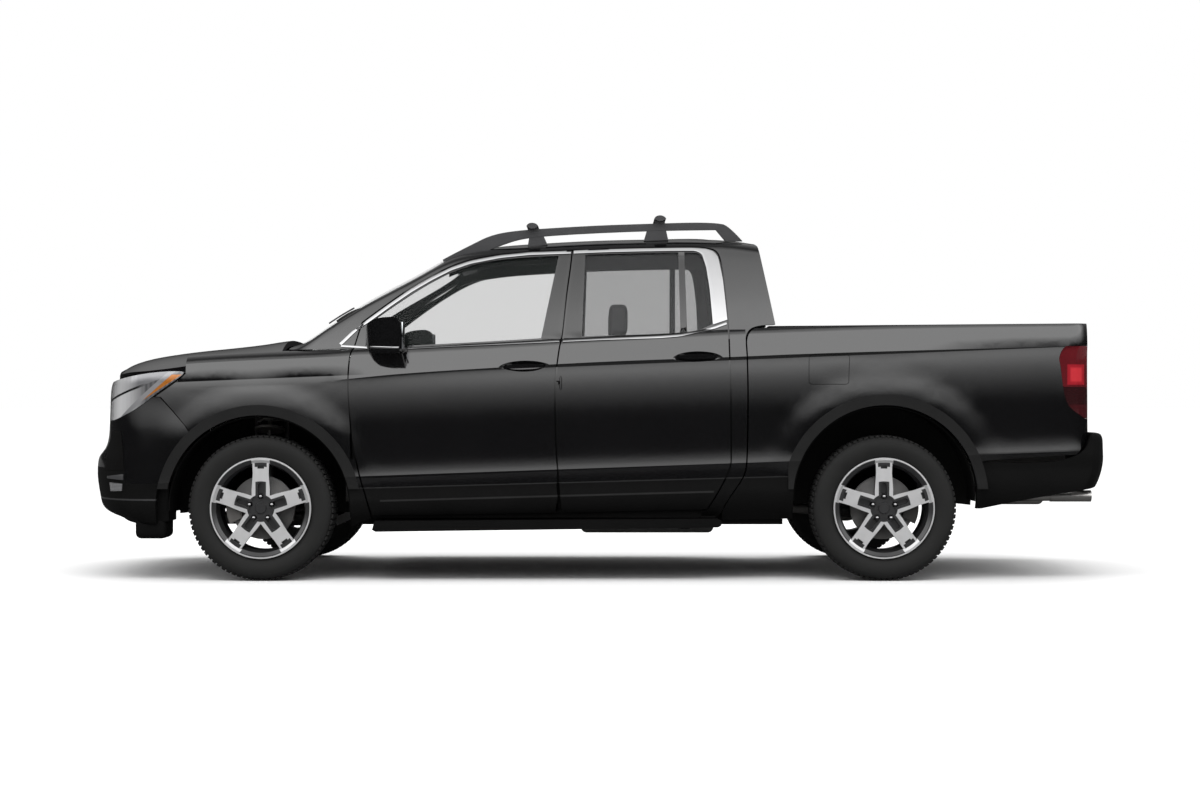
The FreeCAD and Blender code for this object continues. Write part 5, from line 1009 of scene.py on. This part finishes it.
lower_core = new_block((-2.372, -0.430, 0.330), (-2.345, 0.430, 0.640), 0.004, 1)
dress(joined([core, lower_core]), "radiator_core", FINS, "truck_body", "dark_metal")
print("nose pieces", 3 * len(SIDES) + 1)

# %% Deflectors and sill closings
for label, side in SIDES.items():
    near, far = sorted((side * 0.700, side * 0.905))
    guard = new_block((-2.345, near, 0.212), (-2.180, far, 0.330), 0.030, 4)
    corner = new_block((-2.245, near, 0.300), (-2.168, far, 0.498), 0.006, 2)
    dress(joined([guard, corner]), "air_deflector_" + label, CLADDING, "truck_body", "trim")
    near, far = sorted((side * 0.845, side * 0.857))
    closing = new_block((-1.180, near, 0.284), (0.980, far, 0.340), 0.002, 1)
    dress(closing, "sill_closing_" + label, CLADDING, "truck_body", "trim")
print("deflectors and sill closings", 2 * len(SIDES))


# %% Wheel house walls
HOUSE_RADIUS = 0.480
HUB_WINDOW = 0.020
WALL_STEPS = 48


def house_wall(name, centre, y):
    """Plate between a wheel arch's rim and a small window round the axle."""
    outer, inner = [], []
    for index in range(WALL_STEPS + 1):
        angle = math.radians(-6 + 192 * index / WALL_STEPS)
        way = (math.cos(angle), math.sin(angle))
        outer.append((centre[0] + way[0] * HOUSE_RADIUS, centre[1] + way[1] * HOUSE_RADIUS))
        reach = min(HUB_WINDOW / max(abs(way[0]), 1e-6), HUB_WINDOW / max(way[1], 1e-6))
        inner.append((centre[0] + way[0] * reach, centre[1] + way[1] * reach))

    def upright(x, z):
        return Vector((x, y, z))
    return strip(name, outer, inner, upright, 0.004, LINER, "truck_body", "black_paint",
                 1 if y > 0 else -1, WALL_STEPS + 1, 5, 0)


for label, side in SIDES.items():
    house_wall("front_house_wall_" + label, ARCHES[0], side * 0.535)
    house_wall("rear_house_wall_" + label, ARCHES[1], side * 0.700)
print("house walls", 2 * len(SIDES))

# %% [markdown]
# ## Small outside pieces
# Mirror glasses, the tailgate's handle, a blank number plate and two wipers finish the
# outside. The plate stays empty.


# %% Mirror glass, handle and plate
def mirror_layers(finish):
    """Silvered glass with a little haze."""
    breath = finish.noise(8, 3)
    colour = finish.blend(breath, (0.55, 0.57, 0.60), (0.60, 0.62, 0.64))
    return finish.skin(colour, 0.02 + 0.02 * breath, metal=1.0)


def plate_layers(finish):
    """Blank plate with some grime."""
    grime = finish.noise(12, 5)
    colour = finish.blend(grime, (0.62, 0.62, 0.61), (0.72, 0.72, 0.71))
    return finish.skin(colour, 0.30 + 0.15 * grime)


MIRROR = simple("mirror_silver", mirror_layers)
PLATE = simple("plate_white", plate_layers)
for label, side in SIDES.items():
    near, far = sorted((side * 0.985, side * 1.105))
    glass = new_block((-0.960, near, 1.180), (-0.952, far, 1.318), 0.003, 2)
    dress(glass, "mirror_glass_" + label, MIRROR, "door_front_" + label, "lamp")
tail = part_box("tailgate")
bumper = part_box("rear_bumper")
grip = new_block((tail[1][0] - 0.010, -0.115, 1.065), (tail[1][0] + 0.004, 0.115, 1.120), 0.004, 3)
dress(grip, "tailgate_handle", GLOSS, "tailgate", "gloss_trim")
plate = new_block((bumper[1][0] - 0.004, -0.152, 0.560), (bumper[1][0] + 0.003, 0.152, 0.712), 0.0015, 2)
dress(plate, "blank_plate", PLATE, "truck_body", "trim")
print("tailgate reaches", round(tail[1][0], 4), "bumper", round(bumper[1][0], 4))


# %% Wipers
def on_screen(lift):
    """Rule that lays plan-view points on the windscreen."""
    last = {"z": 1.25}

    def place(x, y):
        hit = skin_point("fixed_glass", (x, y, 2.2), (0, 0, -1))
        if hit is not None:
            last["z"] = hit.z
        return Vector((x, y, last["z"] + lift))
    return place


WIPER_LINES = {"driver": (-0.640, -0.010), "passenger": (-0.020, 0.560)}
for label, (start, end) in WIPER_LINES.items():
    low = [(-1.375 + 0.05 * abs(start), start), (-1.300, (start + end) / 2), (-1.262, end)]
    high = [(low[0][0] + 0.012, start), (-1.288, (start + end) / 2), (-1.252, end)]
    strip("wiper_blade_" + label, low, high, on_screen(0.006), 0.014, RUBBER, "truck_body", "trim", -1, 30, 2)
    arm_low = [(-1.395, start + 0.10), (-1.330, start + 0.22), (-1.296, (start + end) / 2)]
    arm_high = [(-1.380, start + 0.10), (-1.318, start + 0.22), (-1.284, (start + end) / 2)]
    strip("wiper_arm_" + label, arm_low, arm_high, on_screen(0.020), 0.008, RAIL, "truck_body", "trim", -1,
          24, 2)
print("wipers", len(WIPER_LINES))

# %% [markdown]
# ## Padded seats
# A car seat is foam under leather: every face swells a little between its seams. Each
# pad starts as a block whose faces are divided, its middles are pushed out along their
# normals, and a subdivision surface rounds it.


# %% Pads
def pad(low, high, crown=0.014, tilt=0.0):
    """Leather pad that swells between its edges."""
    piece = new_block(low, high)
    bpy.ops.object.mode_set(mode="EDIT")
    bpy.ops.mesh.select_all(action="SELECT")
    bpy.ops.mesh.subdivide(number_cuts=5)
    bpy.ops.mesh.select_all(action="DESELECT")
    bpy.ops.object.mode_set(mode="OBJECT")
    middle = [(a + b) / 2 for a, b in zip(low, high)]
    span = [(b - a) / 2 for a, b in zip(low, high)]
    for vertex in piece.data.vertices:
        shares = sorted(abs(vertex.co[k] - middle[k]) / span[k] for k in range(3))
        vertex.select = shares[1] < 0.75
    bpy.ops.object.mode_set(mode="EDIT")
    bpy.ops.transform.shrink_fatten(value=crown)
    bpy.ops.object.mode_set(mode="OBJECT")
    smooth = piece.modifiers.new("smooth", "SUBSURF")
    smooth.levels = 2
    smooth.render_levels = 2
    apply_all(piece)
    if tilt:
        back = Matrix.Translation([-value for value in middle])
        piece.data.transform(Matrix.Translation(middle) @ Matrix.Rotation(tilt, 4, "Y") @ back)
    return piece


def seat_pads(y, half, cushion, back, head, name):
    """Cushion, backrest and head rest of one place."""
    seat = pad((cushion[0], y - half, cushion[2]), (cushion[1], y + half, cushion[3]))
    rest = pad((back[0], y - half * 0.96, back[2]), (back[1], y + half * 0.96, back[3]), 0.012, back[4])
    place = pad((head[0], y - 0.13, head[2]), (head[1], y + 0.13, head[3]), 0.008)
    piece = dress(joined([seat, rest, place]), name, LEATHER, "truck_body", "seat", 60)
    return piece


FRONT_SEAT = 0.38
seats = []
for label, side in SIDES.items():
    seats.append(seat_pads(side * FRONT_SEAT, 0.25, (-0.495, 0.03, 0.565, 0.690),
                           (-0.030, 0.095, 0.600, 1.235, 0.115), (0.095, 0.180, 1.275, 1.425),
                           "seat_pads_front_" + label))
for index, y in enumerate((-0.42, 0.0, 0.42)):
    seats.append(seat_pads(y, 0.208, (0.335, 0.735, 0.545, 0.680), (0.610, 0.705, 0.590, 1.220, 0.075),
                           (0.680, 0.745, 1.220, 1.345), "seat_pads_rear_" + str(index + 1)))
frames = []
for y in (-FRONT_SEAT, FRONT_SEAT):
    frames.append(new_block((-0.44, y - 0.2, 0.42), (-0.02, y + 0.2, 0.568), 0.02))
frames.append(new_block((0.38, -0.6, 0.505), (0.70, 0.6, 0.548), 0.01))
for y in (-FRONT_SEAT, FRONT_SEAT):
    frames.append(new_block((0.125, y - 0.05, 1.20), (0.137, y + 0.05, 1.29), 0.003))
seat_frames = dress(joined(frames), "seat_frames", SOFT, "truck_body", "seat")
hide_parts("seats")
print("padded pieces", len(seats))

# %% [markdown]
# ## Camera, floor and light
# The camera stands square to the truck's left side, as far away as in the photograph.
# The floor and the sky are white to the camera. Gloss black shows only what it mirrors, so
# to mirrored rays the floor and the horizon are dark and a broad band above them is
# bright, as from a large overhead softbox.

# %% Camera
bpy.ops.object.select_all(action="DESELECT")
bpy.ops.object.camera_add(location=(0.0405, -12.24, 0.924), rotation=(math.pi / 2, 0, 0))
camera = bpy.context.object
camera.data.sensor_width = 36
camera.data.lens = 66.36
bpy.context.scene.camera = camera
bpy.context.scene.view_settings.view_transform = "Standard"
print("camera", tuple(camera.location))

# %% Floor
bpy.ops.mesh.primitive_plane_add(size=400)
floor = bpy.context.object
floor.name = "floor"


def floor_layers(finish):
    """White to the eye, straight or through glass, and dark in a mirror."""
    speck = finish.noise(0.7, 3)
    path = finish.node("LightPath", {}, {}, out="Is Camera Ray")
    seen = (path + path.output("Is Transmission Ray")).math("MINIMUM", 1.0)
    pale = finish.blend(speck, (0.80, 0.80, 0.80), (0.82, 0.82, 0.82))
    colour = finish.blend(seen, pale, (1.0, 1.0, 1.0))
    colour = finish.blend(path.output("Is Glossy Ray"), colour, (0.12, 0.12, 0.12))
    return finish.skin(colour, 0.9, level=0.0)


floor.data.materials.append(simple("pale_floor", floor_layers))
print("floor", floor.dimensions.x, "m wide")

# %% Sky and softboxes
world = bpy.data.worlds.new("studio")
bpy.context.scene.world = world
world.use_nodes = True


class Sky(Finish):
    """World shader with the same helpers."""

    def __init__(self, target):
        self.tree = target.node_tree
        self.tree.nodes.clear()
        self.place = self.node("TexCoord", {}, {}, out="Generated")
        split = self.node("SeparateXYZ", {}, {0: self.place})
        self.y = split.output("Y")
        self.z = split.output("Z")


sky = Sky(world)
height = sky.z
dome = 0.30 + 0.95 * height.above(0.36, 0.42)
near_side = 0.12 + 0.88 * sky.y.below(0.0, 0.5)
softboxes = 0.022 + (2.5 * height.above(0.20, 0.24) - 1.3 * height.above(0.78, 0.3)) * near_side
path = sky.node("LightPath", {}, {}, out="Is Camera Ray")
mirrored = path.output("Is Glossy Ray")
white = (path + path.output("Is Transmission Ray")).math("MINIMUM", 1.0)
lighting = dome * (1 - mirrored) + softboxes * mirrored
strength = lighting * (1 - white) + white
background = sky.node("Background", {}, {0: (1, 1, 1, 1), 1: strength})
world_output = sky.tree.nodes.new("ShaderNodeOutputWorld")
sky.tree.links.new(background.socket, world_output.inputs[0])


def softbox(name, place, aim, size, power):
    """Rectangular lamp that faces a point."""
    bpy.ops.object.light_add(type="AREA", location=place)
    lamp = bpy.context.object
    lamp.name = name
    lamp.data.shape = "RECTANGLE"
    lamp.data.size, lamp.data.size_y = size
    lamp.data.energy = power
    lamp.rotation_euler = (Vector(aim) - Vector(place)).to_track_quat("-Z", "Y").to_euler()
    lamp.visible_camera = False
    lamp.visible_glossy = False
    return lamp


softbox("key_left", (0, -4.2, 4.6), (0, -0.8, 0.9), (7.0, 1.6), 130)
softbox("key_right", (0, 4.2, 4.6), (0, 0.8, 0.9), (7.0, 1.6), 130)
